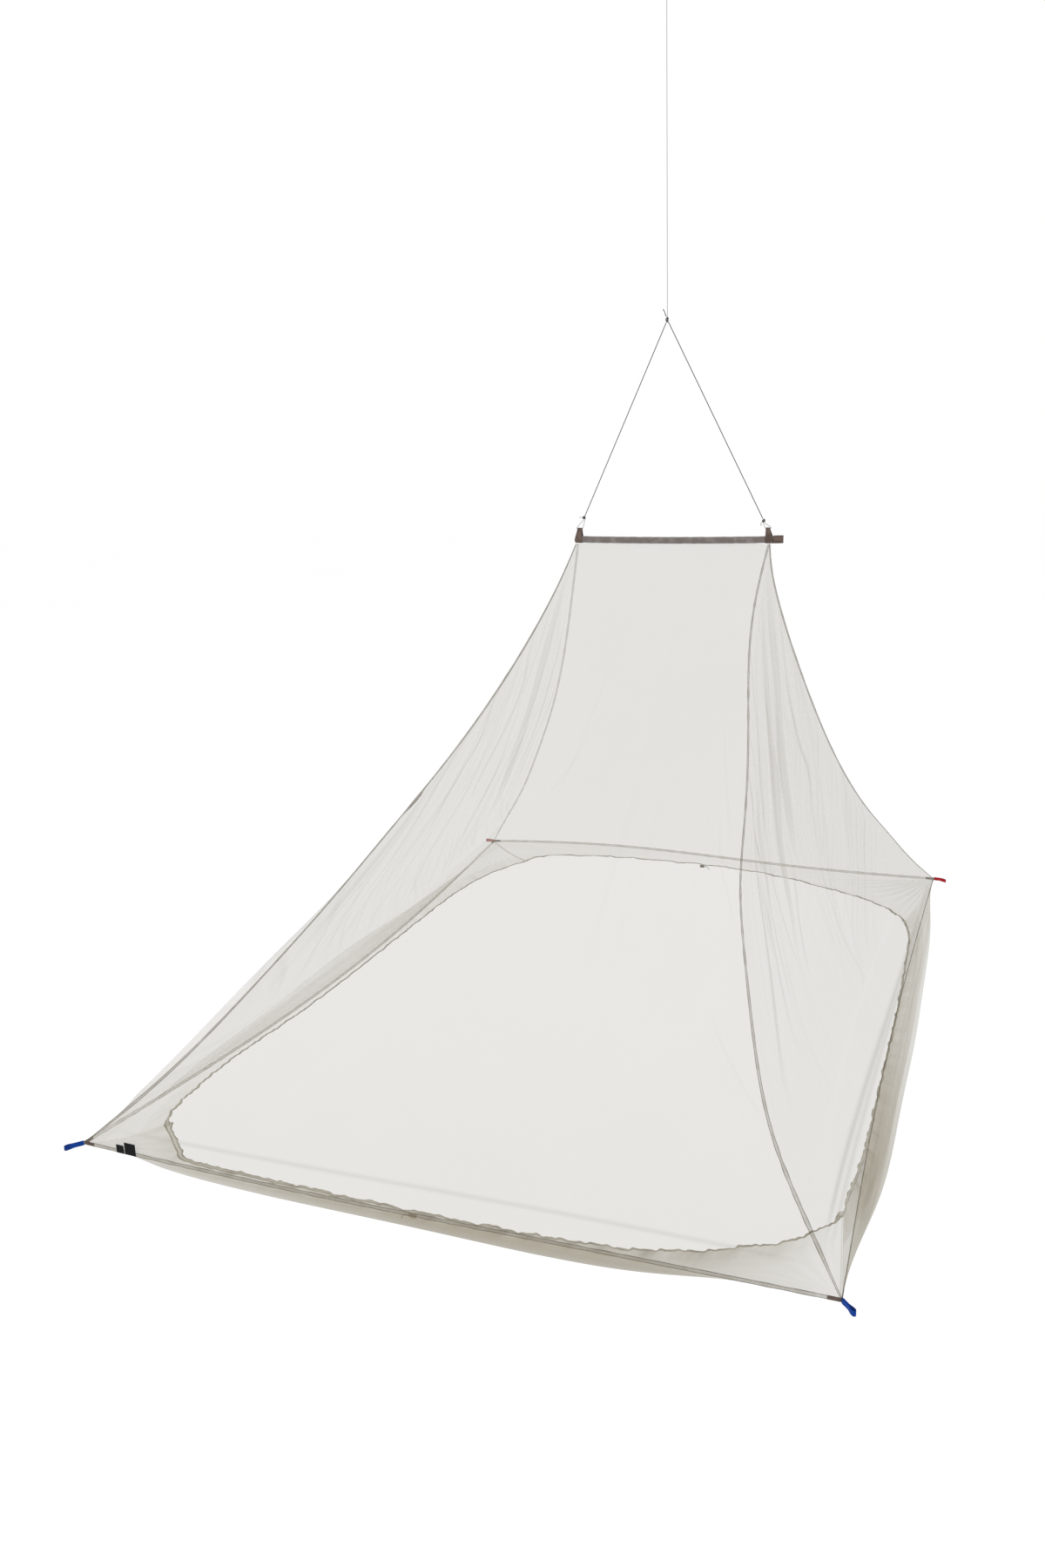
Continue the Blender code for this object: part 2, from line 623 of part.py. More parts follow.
def make_pocket():
    """Webbing folded over the bar's right end."""
    turn = POCKET_RIGHT - POCKET_HALF
    bend = [(turn + y, z) for y, z in arc(POCKET_HALF, -90, 90, 8)]
    outline = [(POCKET_LEFT, -POCKET_HALF)] + bend + [(POCKET_LEFT, POCKET_HALF)]
    rows = []
    for x, y in outline:
        middle = np.array([x, HANG_Y + y, sleeve_axis(POCKET_LEFT)[2]])
        rows.append([middle - UP * POCKET_HEIGHT / 2, middle + UP * POCKET_HEIGHT / 2])
    cloth("bar_pocket", rows, WEBBING_THICKNESS, "webbing_brown")


# ---- Cords and knots ----------------------------------------------------------------------------------
APEX = np.array([HANG_X, HANG_Y, APEX_HEIGHT])
TOP_KNOT = ORIGIN - UP * (TOP_LOOP_HEIGHT + KNOT_SIZE["top"][2] - THIN_CORD_DIAMETER)


def side_knot(side):
    x, height = SIDE_KNOTS[side]
    return np.array([x, HANG_Y, height])


KNOTS = {"left": side_knot("left"), "right": side_knot("right"), "apex": APEX, "top": TOP_KNOT}


def outside_knot(knot, towards, diameter):
    """The point on the line from a knot where a cord's end just clears it."""
    way = unit(np.asarray(towards) - KNOTS[knot])
    size = np.array(KNOT_SIZE[knot])
    reach = 1 / np.linalg.norm(way / size)
    return KNOTS[knot] + way * (reach + 2 * CLEARANCE + diameter ** 2 / (4 * min(size)))


def make_knots():
    materials = {"left": "cord_dark", "right": "cord_dark", "apex": "cord_dark", "top": "cord_light"}
    for name, middle in KNOTS.items():
        bpy.ops.mesh.primitive_uv_sphere_add(segments=12, ring_count=8, radius=1.0)
        ball = bpy.context.object
        mesh = ball.data
        bpy.data.objects.remove(ball, do_unlink=True)
        mesh.transform(diagonal(KNOT_SIZE[name]))
        piece = place(f"knot_{name}", mesh, materials[name])
        piece.location = tuple(middle)


def diagonal(size):
    matrix = np.diag([*size, 1.0])
    return [list(row) for row in matrix]


def straight(start, end, points):
    return [start + (end - start) * k / (points - 1) for k in range(points)]


def make_bridle():
    for side in ("left", "right"):
        top = outside_knot("apex", KNOTS[side], CORD_DIAMETER)
        low = outside_knot(side, KNOTS["apex"], CORD_DIAMETER)
        cord(f"bridle_{side}", straight(top, low, 16), CORD_DIAMETER, "cord_dark")
    low = outside_knot("apex", ORIGIN, THIN_CORD_DIAMETER)
    high = outside_knot("top", APEX, THIN_CORD_DIAMETER)
    cord("hanging_line", straight(low, high, 24), THIN_CORD_DIAMETER, "cord_light")


def tie_loop_places(side):
    """From the knot down to the sling, through its top fold and back, in the bar's plane."""
    low_left, low_right, left, right = SLINGS[side]
    fold = sleeve_axis((low_left + low_right) / 2)[2] + SLING_RISE + SLING_TOP_RADIUS
    height = fold - WEBBING_THICKNESS / 2 - CLEARANCE - THIN_CORD_DIAMETER / 2 - TIE_SLACK
    start, end = (KNOTS[side] + (aside, 0, -TIE_FOOT_DROP) for aside in (-TIE_FOOT_ASIDE, TIE_FOOT_ASIDE))
    # (distance outside the fold's end, height above its underside)
    bend = ((TIE_TURN, TIE_LIFT), (0.55 * TIE_TURN, 0.2 * TIE_LIFT), (-0.5 * TIE_TURN, 0.0))
    going = [(left - out, lift) for out, lift in bend]
    coming = [(right + out, lift) for out, lift in reversed(bend)]
    middle = [np.array([x, HANG_Y, height + z]) for x, z in going + [((left + right) / 2, 0.0)] + coming]
    return [start] + middle + [end]


def top_loop_places():
    """The loop that the hanging line is tied into, from its knot round and back."""
    half, crown = TOP_LOOP_WIDTH / 2, ORIGIN[2] + THIN_CORD_DIAMETER / 2
    foot = TOP_KNOT[2] + KNOT_SIZE["top"][2]
    neck, neck_height = TOP_LOOP_NECK
    side = [(TOP_LOOP_FOOT, foot), (neck * half, foot + neck_height)]
    side += [(out * half, crown - below * half) for out, below in TOP_LOOP_SIDE]
    outline = [(-x, z) for x, z in side] + [(0.0, crown)] + side[::-1]
    return [np.array([HANG_X + x, HANG_Y, z]) for x, z in outline]


def along_line(places, points):
    line = smooth_line(places)
    return [line(k / (points - 1)) for k in range(points)]


def make_small_cords():
    for side in SLINGS:
        cord(f"tie_loop_{side}", along_line(tie_loop_places(side), 26), THIN_CORD_DIAMETER, "cord_light")
    cord("top_loop", along_line(top_loop_places(), 34), THIN_CORD_DIAMETER, "cord_light")
    for name, places in TAILS.items():
        material = "cord_dark" if name == "apex" else "cord_light"
        route = [KNOTS[name] + (x, 0.0, z) for x, z in places]
        cord(f"tail_{name}", along_line(route, 9), THIN_CORD_DIAMETER, material)


# ---- Cord locks and labels ----------------------------------------------------------------------------
def lock_place(side):
    """The middle of a cord lock, just under the hem's bead, and the hem's level direction there."""
    share = CORD_LOCKS[side][0]
    _, hem, _, _ = skirt_edges(side)
    along = direction(hem, share, 0.01) * (1, 1, 0)
    down = HEM_THICKNESS / 2 + LOCK_RADIUS + CLEARANCE + CORD_LOCKS[side][2]
    return hem(share) - UP * down, unit(along)


def make_locks():
    for side, (_, drop, _) in CORD_LOCKS.items():
        middle, along = lock_place(side)
        mesh = bpy.data.meshes.new(f"cord_lock_{side}")
        # The profile runs down the outer side at +X.
        points = [(radius, 0.0, height - LOCK_LENGTH / 2) for radius, height in reversed(LOCK_PROFILE)]
        mesh.from_pydata(points, [(k, k + 1) for k in range(len(points) - 1)], [])
        piece = place(f"cord_lock_{side}", mesh, "lock")
        screw = piece.modifiers.new("turned", "SCREW")
        screw.steps = 12
        screw.render_steps = 12
        screw.use_merge_vertices = True
        screw.merge_threshold = 0.00005
        piece.rotation_euler = (math.pi / 2, 0.0, math.atan2(along[1], along[0]) + math.pi / 2)
        piece.location = tuple(middle)
        start = middle - along * (LOCK_LENGTH / 2 + CLEARANCE + 0.0001)
        route = [start - along * distance - UP * share * drop for distance, share in DRAWCORD_END]
        cord(f"drawcord_end_{side}", along_line(route, 10), THIN_CORD_DIAMETER, "cord_dark")


def make_labels():
    """Bare labels, sewn by their lower edge to the outside of the front base tape."""
    seam = BASES["front"]
    out = TAPE_THICKNESS / 2 + CLEARANCE + LABEL_THICKNESS / 2
    for name, (start, width, height) in LABELS.items():
        rows = []
        for distance in (start, start + width):
            foot = seam(distance / BASE_WIDTH) - UP * TAPE_WIDTH / 2 + (0.0, -out, 0.0)
            rows.append([foot, foot + UP * height])
        cloth(name, rows, LABEL_THICKNESS, "label")


make_walls()
make_skirt()
make_ridge_tapes()
make_base_tapes()
make_corner_patches()
make_corner_loops()
make_bar()
make_slings()
make_pocket()
make_knots()
make_bridle()
make_small_cords()
make_locks()
make_labels()
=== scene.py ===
"""The looks of a mosquito net canopy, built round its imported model.

Lengths are in metres. Shapes are made in base coordinates, like the model's own: X runs along the bar, Y
from the front to the rear, and Z is the height above the four base corners. ORIGIN, where the hanging line
is tied, is taken off when a mesh is made. A side's places go from its start corner to its end corner, and a
share of a width, height or length runs from 0 to 1.
"""
import math

import bpy
import numpy as np
from mathutils import Matrix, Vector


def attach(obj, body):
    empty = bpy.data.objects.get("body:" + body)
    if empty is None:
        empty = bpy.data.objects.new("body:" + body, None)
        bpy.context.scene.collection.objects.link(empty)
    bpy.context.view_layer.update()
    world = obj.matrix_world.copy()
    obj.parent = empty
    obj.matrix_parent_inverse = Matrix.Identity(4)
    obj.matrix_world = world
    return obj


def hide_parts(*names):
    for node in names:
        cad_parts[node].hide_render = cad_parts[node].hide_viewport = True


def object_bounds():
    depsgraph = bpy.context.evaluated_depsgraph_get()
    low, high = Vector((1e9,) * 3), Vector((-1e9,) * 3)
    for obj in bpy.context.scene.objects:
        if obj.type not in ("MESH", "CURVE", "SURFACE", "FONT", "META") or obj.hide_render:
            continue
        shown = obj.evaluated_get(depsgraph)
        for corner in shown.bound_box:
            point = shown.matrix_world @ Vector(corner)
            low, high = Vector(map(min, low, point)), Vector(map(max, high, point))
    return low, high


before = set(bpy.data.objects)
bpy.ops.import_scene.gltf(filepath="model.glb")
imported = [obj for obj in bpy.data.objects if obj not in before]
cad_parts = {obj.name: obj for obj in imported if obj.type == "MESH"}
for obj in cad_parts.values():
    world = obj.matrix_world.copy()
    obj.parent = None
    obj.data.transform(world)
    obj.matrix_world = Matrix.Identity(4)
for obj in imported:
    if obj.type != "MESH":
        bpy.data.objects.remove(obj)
CAD_LOW, CAD_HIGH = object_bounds()

# ---- Sizes shared with the model ----
BASE_WIDTH, BASE_DEPTH = 1.672, 2.400
HANG_X, HANG_Y, HANG_HEIGHT = 0.187, 0.051, 2.600
CLEARANCE = 0.0003               # between neighbouring parts
NET_THICKNESS, TOP_GAP, HEM_THICKNESS = 0.0010, 0.0005, 0.0045
TAPE_WIDTH, TAPE_THICKNESS, WEBBING_THICKNESS = 0.0080, 0.0014, 0.0014
EDGE, RIDGE_EDGE = 0.0034, 0.0030  # from the middle of a base seam or ridge to the cloth's edge
BAR_LEFT_HEIGHT, BAR_RIGHT_HEIGHT, BAR_SAG = 1.2535, 1.2485, 0.0025
SLEEVE_LEFT, SLEEVE_RIGHT, SLEEVE_DIAMETER, SLEEVE_WALL = -0.0672, 0.4622, 0.0165, 0.0018
RIDGE_TOP_LEFT, RIDGE_TOP_RIGHT = -0.0640, 0.4520
RIDGE_TOP_DROP, RIDGE_TOP_SPREAD = 0.0044, 0.0085
CORNER_REACH, WALL_END, WALL_INSET = 0.0260, 0.9970, 0.0060
MITRE_GAP, MITRE_START, MITRE_SAG = 0.0014, 0.0020, 0.0080
END_PULL = 40                    # how quickly a pinned edge leaves its corner
APEX_HEIGHT = 1.7920
UP = np.array([0.0, 0.0, 1.0])
ORIGIN = np.array([HANG_X, HANG_Y, HANG_HEIGHT])

CORNERS = {
    "front_left": np.array([-BASE_WIDTH / 2, -BASE_DEPTH / 2, 0.0]),
    "front_right": np.array([BASE_WIDTH / 2, -BASE_DEPTH / 2, 0.0]),
    "rear_right": np.array([BASE_WIDTH / 2, BASE_DEPTH / 2, 0.0]),
    "rear_left": np.array([-BASE_WIDTH / 2, BASE_DEPTH / 2, 0.0]),
}
# corner: (drawn in along X, hanging down along Z), as amounts of sine waves along the seam
RIDGE_WAVES = {
    "front_left": ((0.048, -0.007, 0.020, 0.006, 0.008, 0.004),
                   (0.103, 0.018, -0.005, -0.009, -0.008, -0.007)),
    "front_right": ((0.129, -0.013, 0.010, 0.003, 0.006, 0.002),
                    (0.127, 0.013, 0.008, -0.012, -0.008, 0.007)),
    "rear_right": ((0.065, 0.010, 0.013, 0.002, 0.007, 0.002),
                   (0.097, -0.012, -0.021, -0.009, -0.010, -0.007)),
    "rear_left": ((0.034, 0.006, 0.002, 0.002, -0.001, 0.0),
                  (0.104, 0.011, -0.003, -0.004, -0.003, -0.001)),
}
# side: (start corner, end corner, direction inward, drawn in, hanging down)
BASE_SEAMS = {
    "front": ("front_left", "front_right", (0, 1, 0), (0.004, -0.001), (0.012, 0.002)),
    "right": ("front_right", "rear_right", (-1, 0, 0), (0.024, 0.001), (0.030, 0.001)),
    "rear": ("rear_right", "rear_left", (0, -1, 0), (0.001, 0.003), (-0.016, 0.010)),
    "left": ("rear_left", "front_left", (1, 0, 0), (0.033, 0.003), (0.044, -0.004)),
}
# side: the hem's places (X, Y, height) from its start mitre to its end mitre
HEM_PLACES = {
    "front": (
        (-0.749, -1.037, -0.030), (-0.706, -1.070, -0.032), (-0.655, -1.116, -0.034),
        (-0.600, -1.145, -0.037), (-0.400, -1.142, -0.045), (-0.029, -1.137, -0.050),
        (0.273, -1.129, -0.050), (0.483, -1.098, -0.050), (0.677, -1.016, -0.045),
        (0.760, -0.950, -0.038), (0.799, -0.892, -0.035),
    ),
    "right": (
        (0.799, -0.892, -0.035), (0.803, -0.790, -0.043), (0.811, -0.589, -0.058),
        (0.810, -0.159, -0.070), (0.811, 0.194, -0.062), (0.806, 0.512, -0.046),
        (0.800, 0.700, -0.036), (0.775, 0.832, -0.030),
    ),
    "rear": (
        (0.775, 0.832, -0.030), (0.723, 0.919, -0.030), (0.618, 1.015, -0.030),
        (0.484, 1.087, -0.030), (0.321, 1.158, -0.028), (0.119, 1.200, -0.025),
        (-0.083, 1.206, -0.022), (-0.350, 1.194, -0.020), (-0.545, 1.162, -0.022),
        (-0.620, 1.126, -0.023), (-0.652, 1.067, -0.025),
    ),
    "left": (
        (-0.652, 1.067, -0.025), (-0.739, 0.909, -0.035), (-0.786, 0.689, -0.045),
        (-0.800, 0.334, -0.055), (-0.803, -0.040, -0.060), (-0.808, -0.321, -0.060),
        (-0.819, -0.558, -0.055), (-0.818, -0.713, -0.050), (-0.788, -0.932, -0.036),
        (-0.749, -1.037, -0.030),
    ),
}
# side: (how far the skirt bellies out, how far it sags), again as sine waves along the side
SKIRT_BELLIES = {
    "front": ((0.024, -0.004, 0.006), (0.012, -0.001, 0.002)),
    "right": ((0.064, 0.002, 0.010, 0.0, 0.003), (0.012, 0.0, 0.0)),
    "rear": ((0.034, 0.0, 0.0), (0.014, 0.0, 0.0)),
    "left": ((0.078, 0.0, 0.0), (-0.022, 0.0, 0.0)),
}
BELLY_SKEW = 0.8                 # below 1, the belly lies nearer to the seam than to the hem
# How uneven a belly is, and the two waves along it that make it so, in radians per metre
BELLY_UNEVEN = {"front": 0.06, "right": 0.03, "rear": 0.05, "left": 0.18}
BELLY_WAVES = (5.2, 2.3)
# Folds that radiate from the bar's ends: (place across, width, depth, crest height, reach)
SIDE_FOLDS = {
    "left": (
        (0.07, 0.030, 0.020, 0.42, 0.50), (0.18, 0.045, -0.034, 0.50, 0.55),
        (0.30, 0.035, 0.026, 0.38, 0.42), (0.41, 0.050, -0.026, 0.56, 0.50),
        (0.54, 0.045, 0.030, 0.42, 0.50), (0.66, 0.040, -0.024, 0.36, 0.42),
        (0.77, 0.045, 0.024, 0.50, 0.50), (0.86, 0.035, -0.020, 0.44, 0.46),
        (0.952, 0.036, 0.027, 0.76, 0.42),
    ),
    "right": (
        (0.06, 0.035, 0.022, 0.46, 0.50), (0.16, 0.040, -0.026, 0.40, 0.46),
        (0.27, 0.045, 0.030, 0.52, 0.54), (0.39, 0.040, -0.028, 0.44, 0.50),
        (0.50, 0.045, 0.026, 0.40, 0.46), (0.61, 0.040, -0.030, 0.52, 0.54),
        (0.73, 0.045, 0.024, 0.44, 0.50), (0.84, 0.035, -0.022, 0.38, 0.44),
        (0.93, 0.030, 0.018, 0.50, 0.46),
    ),
}
# The fine sheet keeps this share of the solid's folds, or it would overlap itself. Only the billow beside
# the front left ridge, a fold beyond this place across its wall, is as deep as in the solid.
FOLD_SHARE, WHOLE_FOLD_FROM = 0.15, 0.94
# How quickly the folds die out at a side wall's start, end, top and foot
FOLD_EASE = (30, 42, 8, 18)
# How far a wall is drawn in along the crease above its foot, and where that crease is on its height
BASE_CREASE = {"front": 0.010, "right": 0.034, "rear": 0.006, "left": 0.014}
CREASE_PLACE, CREASE_REACH = 0.945, 0.055
# corner: (material, angle outward from the X axis in degrees, length, droop at the end)
CORNER_LOOPS = {
    "front_left": ("webbing_blue", 45.0, 0.042, 0.003),
    "front_right": ("webbing_blue", 45.0, 0.035, 0.003),
    "rear_right": ("webbing_red", 12.0, 0.040, 0.008),
    "rear_left": ("webbing_red", 12.0, 0.036, 0.002),
}
LOOP_WIDTH, LOOP_START = 0.0100, 0.0020
# Half of a corner loop's outline: (share of its length, half width)
LOOP_OUTLINE = (
    (0.00, 0.0), (0.03, 0.0013), (0.45, 0.0013), (0.60, 0.0022), (0.74, 0.0035),
    (0.86, 0.0039), (0.95, 0.0029), (1.00, 0.0),
)
# side: (left and right edge at the sleeve, left and right edge at the top)
SLINGS = {
    "left": (-0.0674, -0.0486, -0.0612, -0.0490),
    "right": (0.4427, 0.4620, 0.4432, 0.4532),
}
SLING_RISE, SLING_TOP_RADIUS, SLING_SLACK = 0.0270, 0.0024, 0.0001
POCKET_LEFT, POCKET_RIGHT, POCKET_HEIGHT, POCKET_HALF = 0.4630, 0.4870, 0.0190, 0.0075
SIDE_KNOTS = {"left": (-0.0425, 1.3095), "right": (0.4374, 1.2950)}
KNOT_SIZE = {"left": (0.0040, 0.0040, 0.0052), "right": (0.0040, 0.0040, 0.0052),
             "apex": (0.0040, 0.0040, 0.0080), "top": (0.0038, 0.0038, 0.0070)}
# A tie loop leaves its knot this far aside and below, and turns this far outside the sling's top fold.
TIE_FOOT_ASIDE, TIE_FOOT_DROP, TIE_TURN, TIE_LIFT, TIE_SLACK = 0.0021, 0.0054, 0.0024, 0.0030, 0.0004
# Its way round the fold's end: (share of TIE_TURN outside it, share of TIE_LIFT above its underside)
TIE_BEND = ((1.0, 1.0), (0.55, 0.2), (-0.5, 0.0))
TOP_LOOP_WIDTH, TOP_LOOP_HEIGHT, TOP_LOOP_FOOT = 0.0200, 0.0450, 0.0018
TOP_LOOP_NECK = (0.62, 0.0120)   # (share of the loop's half width, height above its foot)
# One side of the top loop above its neck: (share of its half width, half widths below its crown)
TOP_LOOP_SIDE = ((1.0, 0.9), (0.72, 0.3))
# Tails that stand off a knot: places (X, height) from the knot's middle
TAILS = {
    "left": ((-0.0043, 0.0006), (-0.0070, 0.0012), (-0.0105, 0.0006), (-0.0140, 0.0010)),
    "right": ((-0.0040, -0.0030), (-0.0068, -0.0058), (-0.0078, -0.0098), (-0.0056, -0.0128)),
    "apex": ((-0.0024, 0.0074), (-0.0052, 0.0130), (-0.0072, 0.0190), (-0.0112, 0.0260)),
}
# side: (place along the hem, drop of the drawcord's end, extra room where the hem is wavy)
CORD_LOCKS = {"front": (0.445, 0.012, 0.0002), "rear": (0.560, 0.012, 0.0010)}
LOCK_RADIUS, LOCK_LENGTH, LOCK_BUTTON = 0.0052, 0.0170, 0.0036
# The drawcord's end, from its lock: (distance along the hem, share of its drop)
DRAWCORD_END = ((0.0, 0.0), (0.0060, 0.08), (0.0120, 0.30), (0.0160, 0.65), (0.0170, 1.0))
# name: (distance along the front tape, width, height)
LABELS = {"label_small": (0.0895, 0.0200, 0.0200), "label_large": (0.1120, 0.0290, 0.0290)}
LABEL_THICKNESS = 0.0008

# ---- Looks ----
# Wider than in the model, where the cords would show too faint, and narrower
CORD_DIAMETER, THIN_CORD_DIAMETER, RIDGE_TAPE_WIDTH = 0.0023, 0.0017, 0.0060
CAMERA_PLACE = (1.0461, -3.1644, 1.4523)
CAMERA_YAW, CAMERA_PITCH, CAMERA_ROLL = -21.875, 14.42, -1.842
CAMERA_LENS = 28.52
# How much light one layer of net holds back: a wall's, at these shares of its height from its top
WALL_HEIGHTS = (0.0, 0.35, 0.70, 1.0)
WALL_OPACITY = {"front": (0.312, 0.336, 0.358, 0.386), "right": (0.335, 0.390, 0.400, 0.400),
                "rear": (0.085, 0.080, 0.080, 0.080), "left": (0.110, 0.098, 0.105, 0.112)}
# The skirt's, at these shares of its length from its start corner
SKIRT_PLACES = (0.0, 0.12, 0.50, 0.82, 1.0)
SKIRT_OPACITY = {"front": (0.26, 0.33, 0.52, 0.49, 0.00), "right": (0.31, 0.43, 0.24, 0.23, 0.20),
                 "rear": (0.13, 0.12, 0.13, 0.21, 0.16), "left": (0.16, 0.20, 0.08, 0.09, 0.14)}
# How far a skirt takes the colour of net in layers
SKIRT_WARMTH = {"front": 0.80, "right": 0.65, "rear": 0.45, "left": 0.45}
# How many more layers lie by the skirt's seam and hem than where it bellies
SKIRT_GATHERS = {"front": 0.10, "right": 0.80, "rear": 0.1, "left": 0.5}
# Folds that run along a skirt: (share of the way in at its start, at its end, half width, held back)
SKIRT_FOLDS = {
    "front": ((0.10, 0.12, 0.040, 0.10), (0.30, 0.24, 0.020, 0.06), (0.80, 0.86, 0.030, 0.06)),
    "right": ((0.035, 0.030, 0.020, 0.24), (0.13, 0.10, 0.016, 0.22), (0.21, 0.18, 0.012, 0.16),
              (0.31, 0.28, 0.014, 0.09), (0.74, 0.78, 0.018, 0.13), (0.88, 0.84, 0.020, 0.18)),
    "rear": ((0.35, 0.30, 0.030, 0.02), (0.62, 0.70, 0.030, 0.02)),
    "left": ((0.20, 0.12, 0.030, 0.06), (0.34, 0.42, 0.020, 0.05), (0.58, 0.50, 0.025, 0.05),
             (0.80, 0.86, 0.020, 0.05)),
}
# The net's colour where it lies single, where it lies in layers and where it is rolled or sewn
NET_COLOUR = (0.333, 0.311, 0.262)
LAYERED_COLOUR = (0.235, 0.198, 0.118)
SEWN_COLOUR = (0.085, 0.068, 0.040)
# The opacity from which a wall begins to take the colour of layers or of sewn net, and where it has it whole
LAYERED_FROM, LAYERED_TO = 0.56, 0.76
SEWN_FROM, SEWN_TO = 0.64, 0.84
# The size of the net's holes, what its threads and its holes hold back as shares of its opacity, and how
# cloudy it is
NET_MESH, NET_THREAD, NET_HOLE, NET_CLOUD = 0.0016, 1.09, 0.94, 0.015
# A tape's dark edge, as shares of its half width, and what its middle and its edge hold back
TAPE_EDGE_FROM, TAPE_EDGE_TO, TAPE_MIDDLE_HELD, TAPE_EDGE_HELD = 0.66, 0.92, 0.38, 0.64
# Its stitches: where their row is, as a share of its half width, how wide the row is, and their length
STITCH_PLACE, STITCH_REACH, STITCH_LENGTH = 0.72, 0.14, 0.0030
# The sizes of threads and ribs
TAPE_THREAD, SLEEVE_THREAD, LABEL_THREAD = 0.0009, 0.0008, 0.0006
WEBBING_RIB, WEBBING_CORD, FIBRE_ACROSS, FIBRE_ALONG = 0.0011, 0.0013, 0.0010, 0.0014


# ---- Lines in space ----
def unit(vector):
    vector = np.asarray(vector, float)
    return vector / np.maximum(np.linalg.norm(vector, axis=-1, keepdims=True), 1e-12)


def waves(amounts, share):
    return sum(amount * np.sin((k + 1) * np.pi * share) for k, amount in enumerate(amounts))


def bow(share):
    """A bow between two ends, 1 in its middle."""
    return 4 * share * (1 - share)


def hung_seam(start, end, inward, drawn_in, hanging):
    """A seam from start to end: its chord, drawn inward and hanging down by sine waves."""
    inward = np.asarray(inward, float)

    def at(share):
        share = np.asarray(share, float)[..., None]
        return start + (end - start) * share + inward * waves(drawn_in, share) - UP * waves(hanging, share)

    return at


def smooth_line(places):
    """A smooth line through places, by Catmull-Rom pieces, as a function of the share of its length."""
    nodes = np.asarray(places, float)
    ends = np.vstack([2 * nodes[0] - nodes[1], nodes, 2 * nodes[-1] - nodes[-2]])
    lengths = np.linalg.norm(np.diff(nodes, axis=0), axis=1)
    marks = np.concatenate([[0.0], np.cumsum(lengths)]) / lengths.sum()

    def at(share):
        share = np.asarray(share, float)
        k = np.clip(np.searchsorted(marks, share, side="right") - 1, 0, len(lengths) - 1)
        t = ((share - marks[k]) / (marks[k + 1] - marks[k]))[..., None]
        before, start, end, after = (ends[k + step] for step in range(4))
        return 0.5 * (2 * start + (end - before) * t
                      + (2 * before - 5 * start + 4 * end - after) * t ** 2
                      + (3 * start - before - 3 * end + after) * t ** 3)

    return at


def along_line(places, points):
    return smooth_line(places)(np.linspace(0, 1, points))


def direction(line, share, step=0.002):
    share = np.asarray(share, float)
    return unit(line(np.minimum(share + step, 1.0)) - line(np.maximum(share - step, 0.0)))


def sleeve_axis(x):
    """The bar's axis at x: it slopes a little and sags between its slings."""
    x = np.asarray(x, float)
    share = (x - SLEEVE_LEFT) / (SLEEVE_RIGHT - SLEEVE_LEFT)
    height = BAR_LEFT_HEIGHT + (BAR_RIGHT_HEIGHT - BAR_LEFT_HEIGHT) * share - BAR_SAG * bow(share)
    return np.stack([x, np.full_like(x, HANG_Y), height], -1)


def ridge_line(corner):
    end = CORNERS[corner]
    x = RIDGE_TOP_LEFT if "left" in corner else RIDGE_TOP_RIGHT
    spread = RIDGE_TOP_SPREAD * (-1 if "front" in corner else 1)
    top = sleeve_axis(x) + np.array([0.0, spread, -SLEEVE_DIAMETER / 2 - RIDGE_TOP_DROP])
    return hung_seam(top, end, (-math.copysign(1, end[0]), 0, 0), *RIDGE_WAVES[corner])


def base_line(side):
    start, end, inward, drawn_in, hanging = BASE_SEAMS[side]
    return hung_seam(CORNERS[start], CORNERS[end], inward, drawn_in, hanging)


RIDGES = {corner: ridge_line(corner) for corner in CORNERS}
BASES = {side: base_line(side) for side in BASE_SEAMS}
HEMS = {side: smooth_line(places) for side, places in HEM_PLACES.items()}
INWARD = {side: np.asarray(seam[2], float) for side, seam in BASE_SEAMS.items()}


def ridge_across(corner, share):
    """Across a ridge tape, from its side wall towards its front or rear wall."""
    end = CORNERS[corner]
    across = unit(np.cross(direction(RIDGES[corner], share), unit((end[0], end[1], 0))))
    towards_face = across @ np.array([-end[0], end[1], 0])
    return across * np.where(towards_face > 0, 1, -1)[..., None]


def ridge_edge(corner, share, face, distance):
    """Points beside a ridge seam, on its front or rear wall's side, or else on its side wall's."""
    sign = 1 if face else -1
    return RIDGES[corner](share) + ridge_across(corner, share) * sign * distance


def pinned(edge, start, end):
    """The edge, moved at its ends so that it begins at start and stops at end."""
    first, last = start - edge(0.0), end - edge(1.0)

    def at(share):
        share = np.asarray(share, float)
        near_start, near_end = ((1 - share) ** END_PULL)[..., None], (share ** END_PULL)[..., None]
        return edge(share) + first * near_start + last * near_end

    return at


def patch(top, bottom, left, right, across, down):
    """The Coons surface between four edges, at every one of down's rows and across's columns."""
    a, d = across[None, :, None], down[:, None, None]
    corners = ((1 - a) * (1 - d) * top(0.0) + a * (1 - d) * top(1.0)
               + (1 - a) * d * bottom(0.0) + a * d * bottom(1.0))
    between_sides = (1 - a) * left(down)[:, None] + a * right(down)[:, None]
    return between_sides + (1 - d) * top(across)[None] + d * bottom(across)[None] - corners


def bump(value):
    """1 at 0, falling smoothly to 0 at 1 and beyond."""
    return np.cos(np.minimum(np.abs(value), 1.0) * np.pi / 2) ** 2


def rise(value):
    """0 below 0, 1 above 1 and smooth between."""
    value = np.clip(value, 0.0, 1.0)
    return value * value * (3 - 2 * value)


# ---- Making a piece ----
def add_piece(name, mesh, material, node):
    """Links a mesh as a piece that rides on the body, and stands for a node of the model."""
    mesh.materials.append(MATERIALS[material])
    piece = bpy.data.objects.new(name, mesh)
    bpy.context.scene.collection.objects.link(piece)
    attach(piece, "root")
    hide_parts(node)
    return piece


